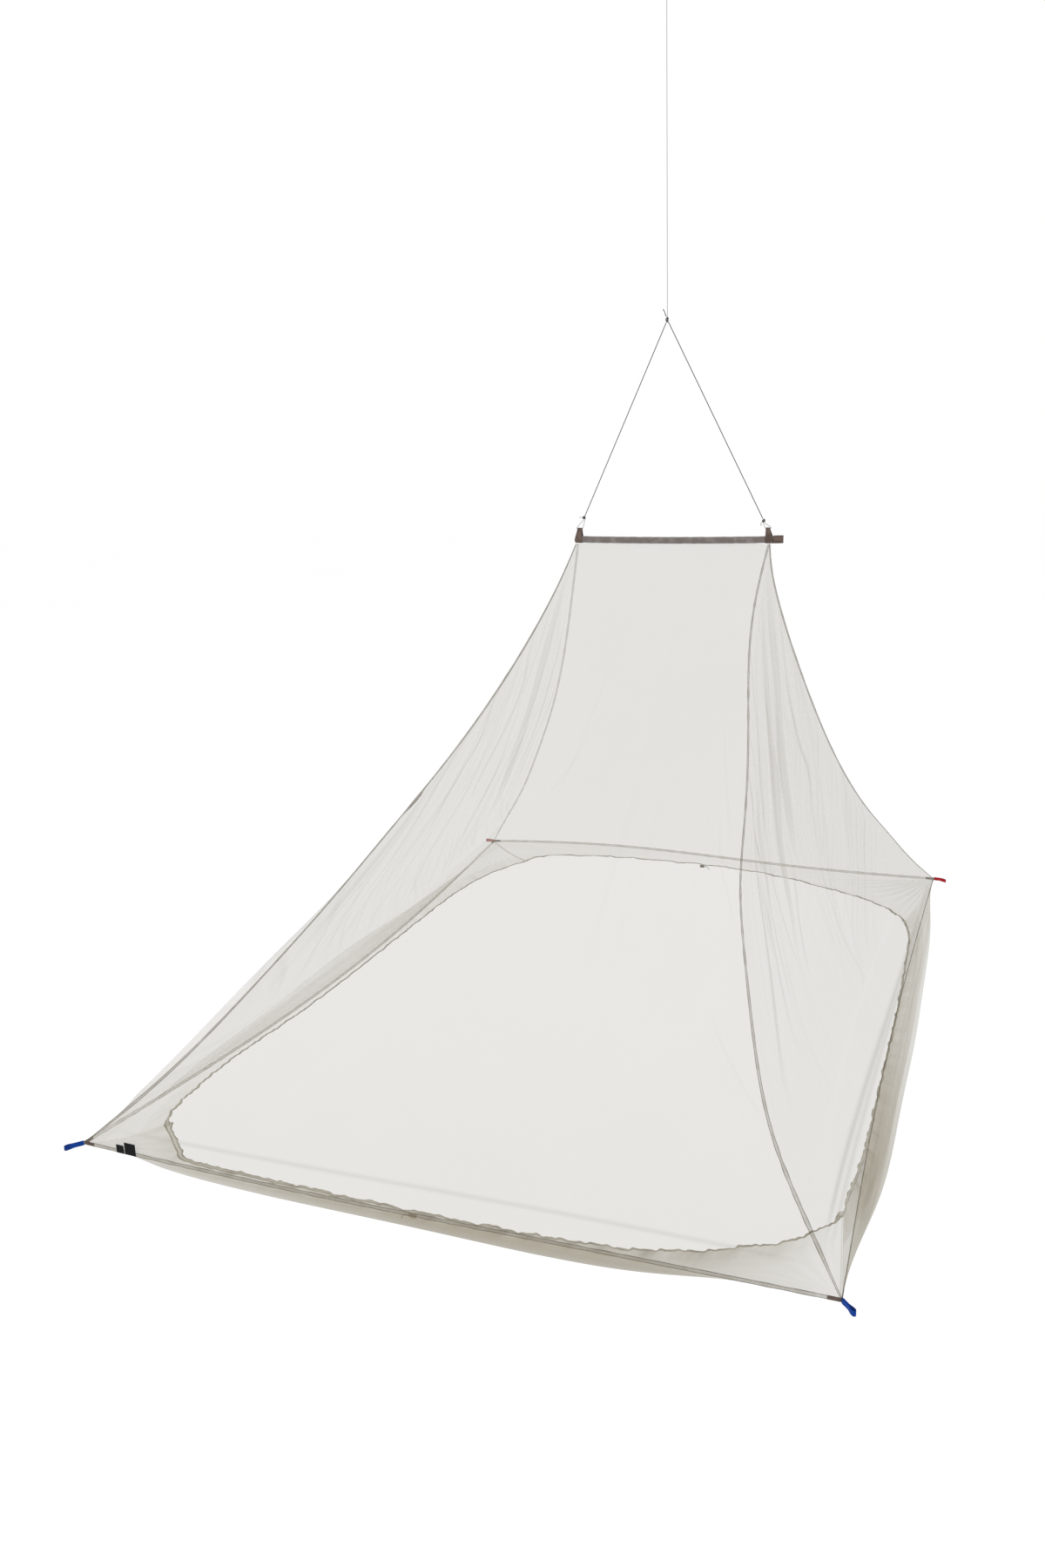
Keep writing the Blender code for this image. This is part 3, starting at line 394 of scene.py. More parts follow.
def grid_mesh(name, points, across, along, ring=False):
    """A smooth mesh through rows of points. across and along are each point's place on the flat cloth in
    metres, for the weave. ring joins the last row to the first, and then they have one row more."""
    rows, columns = points.shape[:2]
    row, column = np.meshgrid(np.arange(rows if ring else rows - 1), np.arange(columns - 1), indexing="ij")
    corner_rows = np.stack([row, row, row + 1, row + 1], -1).reshape(-1, 4)
    corner_columns = np.stack([column, column + 1, column + 1, column], -1).reshape(-1, 4)
    faces = (corner_rows % rows) * columns + corner_columns
    mesh = bpy.data.meshes.new(name)
    mesh.from_pydata((points - ORIGIN).reshape(-1, 3).tolist(), [], faces.tolist())
    flat = np.stack([across[corner_rows, corner_columns], along[corner_rows, corner_columns]], -1)
    mesh.uv_layers.new(name="flat").data.foreach_set("uv", flat.astype(np.float32).ravel())
    mesh.shade_smooth()
    return mesh


def set_values(mesh, name, values):
    """Stores a number for every point of a mesh, which its material reads."""
    stored = mesh.attributes.new(name, "FLOAT", "POINT")
    stored.data.foreach_set("value", np.asarray(values, np.float32).ravel())


def lengths_along(points, axis):
    """How far each point of a grid is along its row or column."""
    steps = np.linalg.norm(np.diff(points, axis=axis), axis=-1)
    start = np.zeros_like(np.take(steps, [0], axis=axis))
    return np.concatenate([start, np.cumsum(steps, axis=axis)], axis=axis)


def band(name, points, thickness, material, node, ring=False):
    """A strip or folded band of webbing or tape through rows of points, made solid."""
    closed = np.concatenate([points, points[:1]]) if ring else points
    mesh = grid_mesh(name, points, lengths_along(closed, 1), lengths_along(closed, 0), ring)
    piece = add_piece(name, mesh, material, node)
    solid = piece.modifiers.new("thickness", "SOLIDIFY")
    solid.offset = 0.0
    solid.thickness = thickness
    solid.use_even_offset = True
    return piece


CORD_SIDES, CORD_STRANDS, STRAND_PITCH = 12, 3, 0.006
STRANDS_OUT = 0.05               # how far a laid cord's strands stand out, as a share of its radius


def cord_rings(path, radius):
    """Rings round a path, how far along it each lies, and the angles of their points."""
    along = unit(np.gradient(path, axis=0))
    normal = np.array([0.0, 1.0, 0.0]) if abs(along[0][1]) < 0.9 else np.array([1.0, 0.0, 0.0])
    normals = np.empty_like(path)
    for k, tangent in enumerate(along):
        normal = unit(normal - tangent * (normal @ tangent))
        normals[k] = normal
    aside = np.cross(along, normals)
    gone = lengths_along(path, 0)
    angle = np.linspace(0, 2 * np.pi, CORD_SIDES + 1)
    strand = CORD_STRANDS * angle[None] - 2 * np.pi * gone[:, None] / STRAND_PITCH
    reach = radius * (1 + STRANDS_OUT * (np.cos(strand) - 1))
    rings = path[:, None] + reach[..., None] * (normals[:, None] * np.cos(angle)[None, :, None]
                                                + aside[:, None] * np.sin(angle)[None, :, None])
    return rings, gone, angle


def cord_mesh(name, path, radius):
    """A laid cord along a path, with capped ends."""
    rings, gone, angle = cord_rings(path, radius)
    last, sides = len(rings) - 1, range(CORD_SIDES)
    faces, places = [], []
    for k in range(last):
        for side in sides:
            corners = ((k, side), (k, side + 1), (k + 1, side + 1), (k + 1, side))
            faces.append(tuple(ring * CORD_SIDES + spoke % CORD_SIDES for ring, spoke in corners))
            places += [(angle[spoke] * radius, gone[ring]) for ring, spoke in corners]
    for ring, order in ((0, reversed(sides)), (last, sides)):
        cap = [(ring * CORD_SIDES + spoke, (angle[spoke] * radius, gone[ring])) for spoke in order]
        faces.append(tuple(point for point, _ in cap))
        places += [place for _, place in cap]
    mesh = bpy.data.meshes.new(name)
    mesh.from_pydata((rings[:, :-1] - ORIGIN).reshape(-1, 3).tolist(), [], faces)
    mesh.uv_layers.new(name="flat").data.foreach_set("uv", np.asarray(places, np.float32).ravel())
    mesh.shade_smooth()
    return mesh


# ---- Materials ----
MATERIALS = {}


class Nodes:
    """A material's node tree, with short ways to add and link nodes."""

    def __init__(self, name, roughness, specular=0.25, sheen=0.0, metallic=0.0):
        self.material = bpy.data.materials.new(name)
        self.material.use_nodes = True
        self.tree = self.material.node_tree
        self.shader = self.tree.nodes["Principled BSDF"]
        self.shader.inputs["Roughness"].default_value = roughness
        self.shader.inputs["Specular IOR Level"].default_value = specular
        self.shader.inputs["Sheen Weight"].default_value = sheen
        self.shader.inputs["Metallic"].default_value = metallic
        MATERIALS[name] = self.material

    def put(self, node, socket, value):
        if hasattr(value, "links"):
            self.tree.links.new(value, node.inputs[socket])
        else:
            node.inputs[socket].default_value = value

    def add(self, kind, inputs=None, **settings):
        node = self.tree.nodes.new(kind)
        for name, value in settings.items():
            setattr(node, name, value)
        for socket, value in (inputs or {}).items():
            self.put(node, socket, value)
        return node

    def math(self, operation, first, second=0.0):
        return self.add("ShaderNodeMath", {0: first, 1: second}, operation=operation).outputs[0]

    def point(self, name):
        """A number that each point of the mesh stores."""
        return self.add("ShaderNodeAttribute", attribute_name=name).outputs["Fac"]

    def flat(self):
        """The place on the flat cloth, in metres."""
        return self.add("ShaderNodeUVMap", uv_map="flat").outputs["UV"]

    def scaled(self, places, across, along):
        node = self.add("ShaderNodeMapping", {"Vector": places, "Scale": (across, along, 1.0)})
        return node.outputs["Vector"]

    def solid(self):
        return self.add("ShaderNodeTexCoord").outputs["Object"]

    def noise(self, places, scale, detail=3.0, roughness=0.5):
        node = self.add("ShaderNodeTexNoise", {"Vector": places, "Scale": scale, "Detail": detail,
                                               "Roughness": roughness})
        return node.outputs["Fac"]

    def ribs(self, places, axis="X", profile="SIN"):
        """Ribs one unit apart along an axis."""
        node = self.add("ShaderNodeTexWave", {"Vector": places, "Scale": math.pi / 10},
                        bands_direction=axis, wave_profile=profile)
        return node.outputs["Fac"]

    def range(self, value, low, high, to_low, to_high):
        node = self.add("ShaderNodeMapRange", {"Value": value, "From Min": low, "From Max": high,
                                               "To Min": to_low, "To Max": to_high})
        return node.outputs["Result"]

    def mix(self, share, first, second):
        node = self.add("ShaderNodeMix", {"Factor": share}, data_type="RGBA")
        self.put(node, 6, (*first, 1.0) if isinstance(first, tuple) else first)
        self.put(node, 7, (*second, 1.0) if isinstance(second, tuple) else second)
        return node.outputs[2]

    def relief(self, height, strength, distance):
        node = self.add("ShaderNodeBump", {"Height": height, "Strength": strength, "Distance": distance})
        self.put(self.shader, "Normal", node.outputs["Normal"])

    def colour(self, value):
        self.put(self.shader, "Base Color", value)


def darker(colour, share):
    return tuple(part * share for part in colour)


def net_material():
    """Fine knitted net: each point's opacity says how much light the cloth holds back there."""
    n = Nodes("net", 0.85, specular=0.1, sheen=0.15)
    holes = n.add("ShaderNodeTexVoronoi", {"Vector": n.flat(), "Scale": 1 / NET_MESH, "Randomness": 0.25},
                  voronoi_dimensions="2D", feature="DISTANCE_TO_EDGE").outputs["Distance"]
    threads = n.range(holes, 0.0, 0.35, NET_THREAD, NET_HOLE)
    cloudy = n.range(n.noise(n.solid(), 5.0, 4.0, 0.6), 0.3, 0.7, 1 - NET_CLOUD, 1 + NET_CLOUD)
    opacity = n.point("opacity")
    alpha = n.math("MULTIPLY", n.math("MULTIPLY", opacity, threads), cloudy)
    n.put(n.shader, "Alpha", n.math("MINIMUM", alpha, 1.0))
    plain = n.mix(n.noise(n.solid(), 2.0), darker(NET_COLOUR, 0.97), darker(NET_COLOUR, 1.03))
    in_layers = n.math("MAXIMUM", n.range(opacity, LAYERED_FROM, LAYERED_TO, 0.0, 1.0), n.point("warmth"))
    layered = n.mix(in_layers, plain, LAYERED_COLOUR)
    n.colour(n.mix(n.range(opacity, SEWN_FROM, SEWN_TO, 0.0, 1.0), layered, SEWN_COLOUR))
    n.relief(holes, 0.08, 0.0003)


def tape_material():
    """Narrow seam tape: a dark stitched edge along each side and a thinner middle. Each point's aside is its
    distance from the middle, as a share of the half width."""
    n = Nodes("tape", 0.85, specular=0.15)
    places, aside = n.flat(), n.point("aside")
    edge = n.range(aside, TAPE_EDGE_FROM, TAPE_EDGE_TO, 0.0, 1.0)
    weave = n.ribs(n.scaled(places, 1 / TAPE_THREAD, 1 / TAPE_THREAD), "DIAGONAL")
    stitch = n.ribs(n.scaled(places, 1.0, 1 / STITCH_LENGTH), "Y")
    from_row = n.math("ABSOLUTE", n.math("SUBTRACT", aside, STITCH_PLACE))
    row = n.math("MULTIPLY", n.range(from_row, 0.0, STITCH_REACH, 1.0, 0.0),
                 n.range(stitch, 0.35, 0.65, 0.0, 1.0))
    uneven = n.range(n.noise(n.scaled(places, 0.0, 1.0), 22.0, 3.0, 0.6), 0.3, 0.7, 0.80, 1.20)
    middle = n.mix(weave, (0.175, 0.150, 0.100), (0.215, 0.188, 0.135))
    dyed = n.mix(edge, middle, (0.080, 0.068, 0.048))
    n.colour(n.mix(n.math("MULTIPLY", row, 0.3), dyed, (0.050, 0.042, 0.030)))
    held = n.math("MULTIPLY", n.range(edge, 0.0, 1.0, TAPE_MIDDLE_HELD, TAPE_EDGE_HELD), uneven)
    n.put(n.shader, "Alpha", n.math("MINIMUM", n.math("MULTIPLY", held, n.point("held")), 1.0))
    n.relief(n.math("ADD", weave, row), 0.2, 0.0002)


def webbing_material(name, colour):
    """Narrow woven webbing: ribs across it, cords along it, darker patches of painted shade and lighter worn
    places.
    """
    n = Nodes(name, 0.8, specular=0.1, sheen=0.04)
    places = n.flat()
    ribs = n.ribs(n.scaled(places, 1.0, 1 / WEBBING_RIB), "Y")
    cords = n.ribs(n.scaled(places, 1 / WEBBING_CORD, 0.0), "X")
    weave = n.math("MULTIPLY", n.math("ADD", ribs, cords), 0.5)
    worn = n.range(n.noise(n.solid(), 260.0, 4.0, 0.6), 0.55, 0.8, 0.0, 0.35)
    # Painted shade: dark patches at random places that stand in for the shade where the webbing folds and
    # crosses itself
    painted_shade_patches = n.range(n.noise(n.solid(), 55.0, 2.0), 0.42, 0.62, 0.0, 0.55)
    woven = n.mix(weave, darker(colour, 0.62), darker(colour, 1.15))
    woven = n.mix(painted_shade_patches, woven, darker(colour, 0.30))
    n.colour(n.mix(worn, woven, tuple(part * 0.7 + 0.05 for part in colour)))
    n.relief(weave, 0.7, 0.0004)


def cord_material(name, colour):
    """Laid cord: fine fibres across the strands."""
    n = Nodes(name, 0.7, specular=0.2, sheen=0.2)
    places = n.flat()
    fibres = n.ribs(n.scaled(places, 1 / FIBRE_ACROSS, 1 / FIBRE_ALONG), "DIAGONAL")
    fluff = n.noise(n.solid(), 900.0, 3.0)
    n.colour(n.mix(n.math("MULTIPLY", fibres, fluff), darker(colour, 0.80), darker(colour, 1.15)))
    n.relief(fibres, 0.3, 0.0002)


def sleeve_material():
    """Dark plain-woven sleeve cloth."""
    n = Nodes("sleeve", 0.9, specular=0.12, sheen=0.25)
    places = n.flat()
    weave = n.math("MULTIPLY", n.ribs(n.scaled(places, 1 / SLEEVE_THREAD, 0.0), "X"),
                   n.ribs(n.scaled(places, 0.0, 1 / SLEEVE_THREAD), "Y"))
    faded = n.noise(n.solid(), 60.0, 4.0)
    base = n.mix(weave, (0.125, 0.104, 0.098), (0.235, 0.202, 0.190))
    n.colour(n.mix(n.range(faded, 0.45, 0.75, 0.0, 0.5), base, (0.300, 0.270, 0.250)))
    n.relief(weave, 0.6, 0.0003)


def bar_material():
    """Brushed grey tube."""
    n = Nodes("bar", 0.35, specular=0.5, metallic=0.8)
    brushed = n.noise(n.scaled(n.solid(), 30.0, 900.0), 1.0, 4.0)
    n.colour(n.mix(brushed, (0.30, 0.30, 0.31), (0.50, 0.50, 0.51)))
    n.put(n.shader, "Roughness", n.range(brushed, 0.3, 0.7, 0.28, 0.45))


def lock_material():
    """Moulded dark plastic with fine grain."""
    n = Nodes("lock", 0.45, specular=0.4)
    grain = n.noise(n.solid(), 1500.0, 3.0)
    n.colour(n.mix(grain, (0.030, 0.030, 0.028), (0.065, 0.064, 0.060)))
    n.relief(grain, 0.3, 0.0001)


def label_material():
    """Black woven label, left bare."""
    n = Nodes("label", 0.80, specular=0.05)
    weave = n.ribs(n.scaled(n.flat(), 1 / LABEL_THREAD, 1 / LABEL_THREAD), "DIAGONAL")
    n.colour(n.mix(weave, (0.006, 0.006, 0.007), (0.018, 0.018, 0.019)))
    n.relief(weave, 0.5, 0.0002)


def floor_material():
    """Plain pale studio floor, with a glow that joins it to the studio without a line."""
    n = Nodes("floor", 0.9, specular=0.0)
    n.colour(n.mix(n.noise(n.solid(), 0.6), (0.195, 0.195, 0.195), (0.205, 0.205, 0.205)))
    n.shader.inputs["Emission Color"].default_value = (1.0, 1.0, 1.0, 1.0)
    n.shader.inputs["Emission Strength"].default_value = FLOOR_GLOW


def make_materials():
    net_material()
    tape_material()
    webbing_material("webbing_brown", (0.150, 0.108, 0.090))
    webbing_material("webbing_blue", (0.002, 0.046, 0.290))
    webbing_material("webbing_red", (0.420, 0.014, 0.024))
    cord_material("cord_dark", (0.055, 0.054, 0.052))
    cord_material("cord_light", (0.330, 0.330, 0.322))
    sleeve_material()
    bar_material()
    lock_material()
    label_material()
    floor_material()


# ---- Camera, floor and light ----
FLOOR_REACH, FLOOR_DROP, FLOOR_GLOW = 30.0, 0.004, 0.795
# name: (place, the place it shines at, size, power)
LAMPS = {
    "key": ((-2.6, -3.2, 3.4), (0.0, 0.0, 0.8), 2.6, 60.0),
    "fill": ((3.4, -1.5, 2.2), (0.0, 0.0, 0.8), 3.0, 20.0),
}


def set_up(name, data, place, level, above, back):
    """Links a camera or lamp at a place, turned to these axes."""
    thing = bpy.data.objects.new(name, data)
    rows = [[level[k], above[k], back[k], place[k] - ORIGIN[k]] for k in range(3)]
    thing.matrix_world = Matrix(rows + [[0, 0, 0, 1]])
    bpy.context.scene.collection.objects.link(thing)
    return thing


def make_camera():
    yaw, pitch, roll = (math.radians(angle) for angle in (CAMERA_YAW, CAMERA_PITCH, CAMERA_ROLL))
    forward = np.array([math.sin(yaw) * math.cos(pitch), math.cos(yaw) * math.cos(pitch), -math.sin(pitch)])
    level = np.array([math.cos(yaw), -math.sin(yaw), 0.0])
    above = np.cross(level, forward)
    right = math.cos(roll) * level + math.sin(roll) * above
    up = -math.sin(roll) * level + math.cos(roll) * above
    data = bpy.data.cameras.new("camera")
    data.lens = CAMERA_LENS
    data.sensor_width = 36.0
    data.clip_end = 60.0
    bpy.context.scene.camera = set_up("camera", data, CAMERA_PLACE, right, up, -forward)


def make_floor():
    mesh = bpy.data.meshes.new("floor")
    corners = [(x * FLOOR_REACH, y * FLOOR_REACH, 0) for x, y in ((-1, -1), (1, -1), (1, 1), (-1, 1))]
    mesh.from_pydata(corners, [], [(0, 1, 2, 3)])
    mesh.materials.append(MATERIALS["floor"])
    floor = bpy.data.objects.new("floor", mesh)
    floor.location.z = CAD_LOW.z - FLOOR_DROP
    bpy.context.scene.collection.objects.link(floor)


def make_light():
    scene = bpy.context.scene
    world = bpy.data.worlds.new("studio")
    world.use_nodes = True
    background = world.node_tree.nodes["Background"]
    background.inputs["Color"].default_value = (1.0, 1.0, 1.0, 1.0)
    background.inputs["Strength"].default_value = 1.0
    scene.world = world
    scene.view_settings.view_transform = "Standard"
    for name, (place, aim, size, power) in LAMPS.items():
        data = bpy.data.lights.new(name, "AREA")
        data.size = size
        data.energy = power
        back = unit(np.subtract(place, aim))
        level = unit(np.cross(UP, back))
        set_up(name, data, place, level, np.cross(back, level), back)


# ---- Cords and knots ----
APEX = np.array([HANG_X, HANG_Y, APEX_HEIGHT])
TOP_KNOT = ORIGIN - UP * (TOP_LOOP_HEIGHT + KNOT_SIZE["top"][2] - THIN_CORD_DIAMETER)
KNOTS = {side: np.array([x, HANG_Y, height]) for side, (x, height) in SIDE_KNOTS.items()}
KNOTS.update(apex=APEX, top=TOP_KNOT)
CORD_STEP = 0.0012               # between the rings of a cord


def outside_knot(knot, towards, diameter):
    """The point on the line from a knot where a cord's end just clears it."""
    way = unit(np.asarray(towards) - KNOTS[knot])
    size = np.array(KNOT_SIZE[knot])
    reach = 1 / np.linalg.norm(way / size)
    return KNOTS[knot] + way * (reach + 2 * CLEARANCE + diameter ** 2 / (4 * min(size)))


def cord_path(places):
    """Close points along a smooth line through places."""
    rough = along_line(places, 200)
    length = np.linalg.norm(np.diff(rough, axis=0), axis=1).sum()
    return along_line(places, max(8, int(length / CORD_STEP)))


def cord_piece(name, path, diameter, material, node):
    return add_piece(name, cord_mesh(name, path, diameter / 2), material, node)


def line_length(path):
    return float(np.linalg.norm(np.diff(path, axis=0), axis=1).sum())


DARK_CORD, LIGHT_CORD = (CORD_DIAMETER, "cord_dark"), (THIN_CORD_DIAMETER, "cord_light")
# A knot's wraps, the share of its width at both ends and what its middle adds, how oval it is, the share of
# its height that is wound, and how far its wraps waver
KNOT_WRAPS, KNOT_ENDS, KNOT_MIDDLE, KNOT_OVAL, KNOT_WOUND, KNOT_WAVER = 3, 0.72, 0.28, 0.08, 0.92, 0.0006
# How far its strap reaches, as shares of the knot's width, depth and height
STRAP_REACH = (0.76, 0.90, 0.80)


def knot_path(name, thick):
    """A tied knot: a cord wound round itself, with its last turn strapped over the others."""
    width, _, height = KNOT_SIZE[name]
    turn = np.linspace(0, 1, 90)
    angle = 2 * np.pi * KNOT_WRAPS * turn
    inside = (width - thick / 2) * (KNOT_ENDS + KNOT_MIDDLE * np.sin(np.pi * turn))
    x = inside * np.cos(angle) * (1 + KNOT_OVAL * np.sin(2 * angle))
    y = inside * np.sin(angle)
    z = (height - thick / 2) * (2 * turn - 1) * KNOT_WOUND + KNOT_WAVER * np.sin(angle + 0.6)
    core = np.stack([x, y, z], -1)
    over = np.linspace(0, 1, 24)
    out, aside, up = STRAP_REACH
    strap = np.stack([-out * width * np.sin(np.pi * over), -aside * width * np.cos(np.pi * (over - 0.5)),
                      up * height * (1 - 2 * over)], -1)
    turning = core[-1] + (strap[:1] - core[-1]) * np.linspace(0.2, 0.8, 4)[:, None]
    return cord_path(KNOTS[name] + np.concatenate([core, turning, strap])[::4])


def taut_path(start, end):
    return cord_path([start + (end - start) * share for share in (0.0, 0.33, 0.67, 1.0)])


def lay_cord(name, node, path, cord):
    """A cord along a path that stands for a node."""
    piece = cord_piece(name, path, *cord, node)


def make_cords():
    knots, tails = {}, {}
    for name in ("left", "right", "apex", "top"):
        cord = LIGHT_CORD if name == "top" else DARK_CORD
        knots[name] = cord_piece(f"tied_knot_{name}", knot_path(name, cord[0]), *cord, f"knot_{name}")
    for name, places in TAILS.items():
        cord = DARK_CORD if name == "apex" else LIGHT_CORD
        path = cord_path([KNOTS[name] + (x, 0.0, z) for x, z in places])
        tails[name] = cord_piece(f"cord_tail_{name}", path, *cord, f"tail_{name}")
    for side in SLINGS:
        top = outside_knot("apex", KNOTS[side], CORD_DIAMETER)
        low = outside_knot(side, KNOTS["apex"], CORD_DIAMETER)
        lay_cord(f"bridle_cord_{side}", f"bridle_{side}", taut_path(top, low), DARK_CORD)
        lay_cord(f"tie_cord_{side}", f"tie_loop_{side}", cord_path(tie_loop_places(side)), LIGHT_CORD)
    low = outside_knot("apex", ORIGIN, THIN_CORD_DIAMETER)
    high = outside_knot("top", APEX, THIN_CORD_DIAMETER)
    lay_cord("hanging_cord", "hanging_line", taut_path(low, high), LIGHT_CORD)
    lay_cord("top_loop_cord", "top_loop", cord_path(top_loop_places()), LIGHT_CORD)


def tie_loop_places(side):
    """From the knot down to the sling, through its top fold and back, in the bar's plane."""
    low_left, low_right, left, right = SLINGS[side]
    fold = sleeve_axis((low_left + low_right) / 2)[2] + SLING_RISE + SLING_TOP_RADIUS
    height = fold - WEBBING_THICKNESS / 2 - CLEARANCE - THIN_CORD_DIAMETER / 2 - TIE_SLACK
    start, end = (KNOTS[side] + (aside, 0, -TIE_FOOT_DROP) for aside in (-TIE_FOOT_ASIDE, TIE_FOOT_ASIDE))
    going = [(left - out * TIE_TURN, lift * TIE_LIFT) for out, lift in TIE_BEND]
    coming = [(right + out * TIE_TURN, lift * TIE_LIFT) for out, lift in reversed(TIE_BEND)]
    middle = [np.array([x, HANG_Y, height + z]) for x, z in going + [((left + right) / 2, 0.0)] + coming]
    return [start] + middle + [end]


def top_loop_places():
    """The loop that the hanging line is tied into, from its knot round and back."""
    half, crown = TOP_LOOP_WIDTH / 2, ORIGIN[2] + THIN_CORD_DIAMETER / 2
    foot = TOP_KNOT[2] + KNOT_SIZE["top"][2]
    neck, neck_height = TOP_LOOP_NECK
    side = [(TOP_LOOP_FOOT, foot), (neck * half, foot + neck_height)]
    side += [(out * half, crown - below * half) for out, below in TOP_LOOP_SIDE]
    outline = [(-x, z) for x, z in side] + [(0.0, crown)] + side[::-1]
    return [np.array([HANG_X + x, HANG_Y, z]) for x, z in outline]


# ---- Walls ----
# The pleats that show in the walls. Each runs down its wall between two heights, through five evenly spaced
# places across, as a band of doubled net between two edges.
# (from, to, place 1, place 2, place 3, place 4, place 5, half width at its top, middle and foot, held back)
PLEATS = {
    "left": (
        (0.17, 0.49, 0.130, 0.155, 0.155, 0.158, 0.165, 0.016, 0.011, 0.008, 0.293),
        (0.09, 0.61, 0.600, 0.390, 0.305, 0.257, 0.235, 0.090, 0.042, 0.010, 0.209),
        (0.10, 0.26, 0.900, 0.740, 0.650, 0.590, 0.540, 0.010, 0.008, 0.005, 0.214),
        (0.14, 0.47, 0.950, 0.640, 0.560, 0.545, 0.520, 0.014, 0.014, 0.008, 0.251),
        (0.17, 0.27, 0.950, 0.860, 0.790, 0.740, 0.700, 0.006, 0.006, 0.005, 0.143),
        (0.23, 0.50, 0.950, 0.800, 0.765, 0.740, 0.710, 0.010, 0.008, 0.006, 0.260),
        (0.28, 0.56, 0.965, 0.925, 0.880, 0.850, 0.825, 0.008, 0.008, 0.006, 0.214),
        (0.38, 0.68, 0.950, 0.920, 0.916, 0.914, 0.910, 0.008, 0.008, 0.006, 0.189),
        (0.30, 0.56, 0.030, 0.065, 0.085, 0.100, 0.110, 0.012, 0.010, 0.008, 0.147),
        (0.33, 0.55, 0.470, 0.440, 0.422, 0.420, 0.415, 0.008, 0.008, 0.006, 0.166),
        (0.33, 0.56, 0.665, 0.630, 0.600, 0.585, 0.575, 0.006, 0.006, 0.005, 0.143),
    ),
    "right": (
        (0.14, 0.68, 0.460, 0.354, 0.372, 0.335, 0.290, 0.040, 0.050, 0.008, 0.255),
        (0.10, 0.54, 0.760, 0.600, 0.480, 0.470, 0.445, 0.090, 0.056, 0.006, 0.230),
        (0.15, 0.51, 0.970, 0.745, 0.705, 0.720, 0.650, 0.010, 0.013, 0.005, 0.247),
        (0.16, 0.47, 0.030, 0.145, 0.185, 0.218, 0.240, 0.018, 0.010, 0.006, 0.181),
        (0.25, 0.62, 0.000, 0.140, 0.190, 0.203, 0.170, 0.008, 0.010, 0.006, 0.165),
        (0.30, 0.50, 0.000, 0.060, 0.115, 0.165, 0.195, 0.008, 0.008, 0.006, 0.293),
        (0.42, 0.78, 0.135, 0.145, 0.140, 0.122, 0.090, 0.007, 0.006, 0.010, 0.314),
        (0.56, 0.72, 0.410, 0.390, 0.360, 0.343, 0.333, 0.006, 0.006, 0.005, 0.209),
        (0.10, 0.17, 0.220, 0.280, 0.330, 0.370, 0.400, 0.012, 0.012, 0.008, 0.115),
        (0.50, 0.63, 0.160, 0.163, 0.165, 0.166, 0.167, 0.004, 0.004, 0.003, 0.188),
        (0.50, 0.76, 0.176, 0.178, 0.180, 0.180, 0.178, 0.004, 0.004, 0.003, 0.188),
        (0.50, 0.72, 0.205, 0.200, 0.200, 0.205, 0.210, 0.004, 0.004, 0.003, 0.146),
        (0.50, 0.70, 0.235, 0.238, 0.248, 0.262, 0.275, 0.004, 0.004, 0.003, 0.146),
    ),
    "front": (
        (0.26, 0.40, 0.920, 0.930, 0.942, 0.956, 0.970, 0.004, 0.004, 0.003, 0.040),
        (0.39, 0.56, 0.935, 0.948, 0.962, 0.978, 0.992, 0.004, 0.004, 0.003, 0.040),
        (0.68, 0.80, 0.930, 0.948, 0.966, 0.984, 0.998, 0.004, 0.004, 0.003, 0.036),
    ),
    "rear": (
        (0.30, 0.62, 0.120, 0.110, 0.100, 0.090, 0.080, 0.006, 0.006, 0.005, 0.036),
        (0.45, 0.75, 0.840, 0.862, 0.885, 0.908, 0.930, 0.006, 0.006, 0.005, 0.030),
    ),
}
# Where a pleat's three widths are on its length, how far it fades in before its top and out beyond its foot,
# over what share of its length, and how far it stands out, as a share of its half width
PLEAT_PLACES, PLEAT_BEFORE, PLEAT_BEYOND, PLEAT_FADE, PLEAT_RISE = (0.0, 0.4, 1.0), 0.20, 0.15, 0.45, 0.16
# How quickly they sink into the wall at its start, end, top and foot
PLEAT_EASE = (30, 30, 12, 20)
# Creases that cross a wall above its foot: (height at its start, at its end, bow between, half width, held)
FOOT_CREASES = {
    "front": ((0.976, 0.968, -0.004, 0.0028, 0.220),),
    "right": ((0.955, 0.986, 0.014, 0.0034, 0.340), (0.968, 0.994, 0.010, 0.0030, 0.260)),
    "rear": (),
    "left": ((0.930, 0.930, -0.110, 0.0100, 0.050), (0.980, 0.960, -0.090, 0.0080, 0.055),
             (0.998, 0.990, -0.060, 0.0060, 0.055)),
}
CREASE_FADE = 0.10               # the share of the wall's width over which they fade out at both ends
# Where a wall's foot lies in layers: (height at its start, at its end, bow between, depth of its soft edge,
# held back)
FOOT_LAYERS = {"left": (0.860, 0.930, -0.060, 0.045, 0.085)}
# Where a side wall's end is denser, as it billows past its ridge: (from this place, below this height, held
# back), and how softly that begins
BILLOW = {"left": (0.925, 0.55, 0.200)}
BILLOW_SOFT = 0.30
# side: (how many fine gathers, how much light the strongest holds back, the seed of their places)
FINE_GATHERS = {"left": (260, 0.110, 11), "right": (240, 0.110, 23), "front": (16, 0.020, 31),
                "rear": (16, 0.010, 47)}
# The least and most of a gather's place at its crest, half width, strength, crest height, reach up and down
# from there, and own lean
GATHER_RANGES = ((0.01, 0.99), (0.0028, 0.0060), (0.15, 1), (0.12, 0.80), (0.10, 0.34), (-0.05, 0.05))
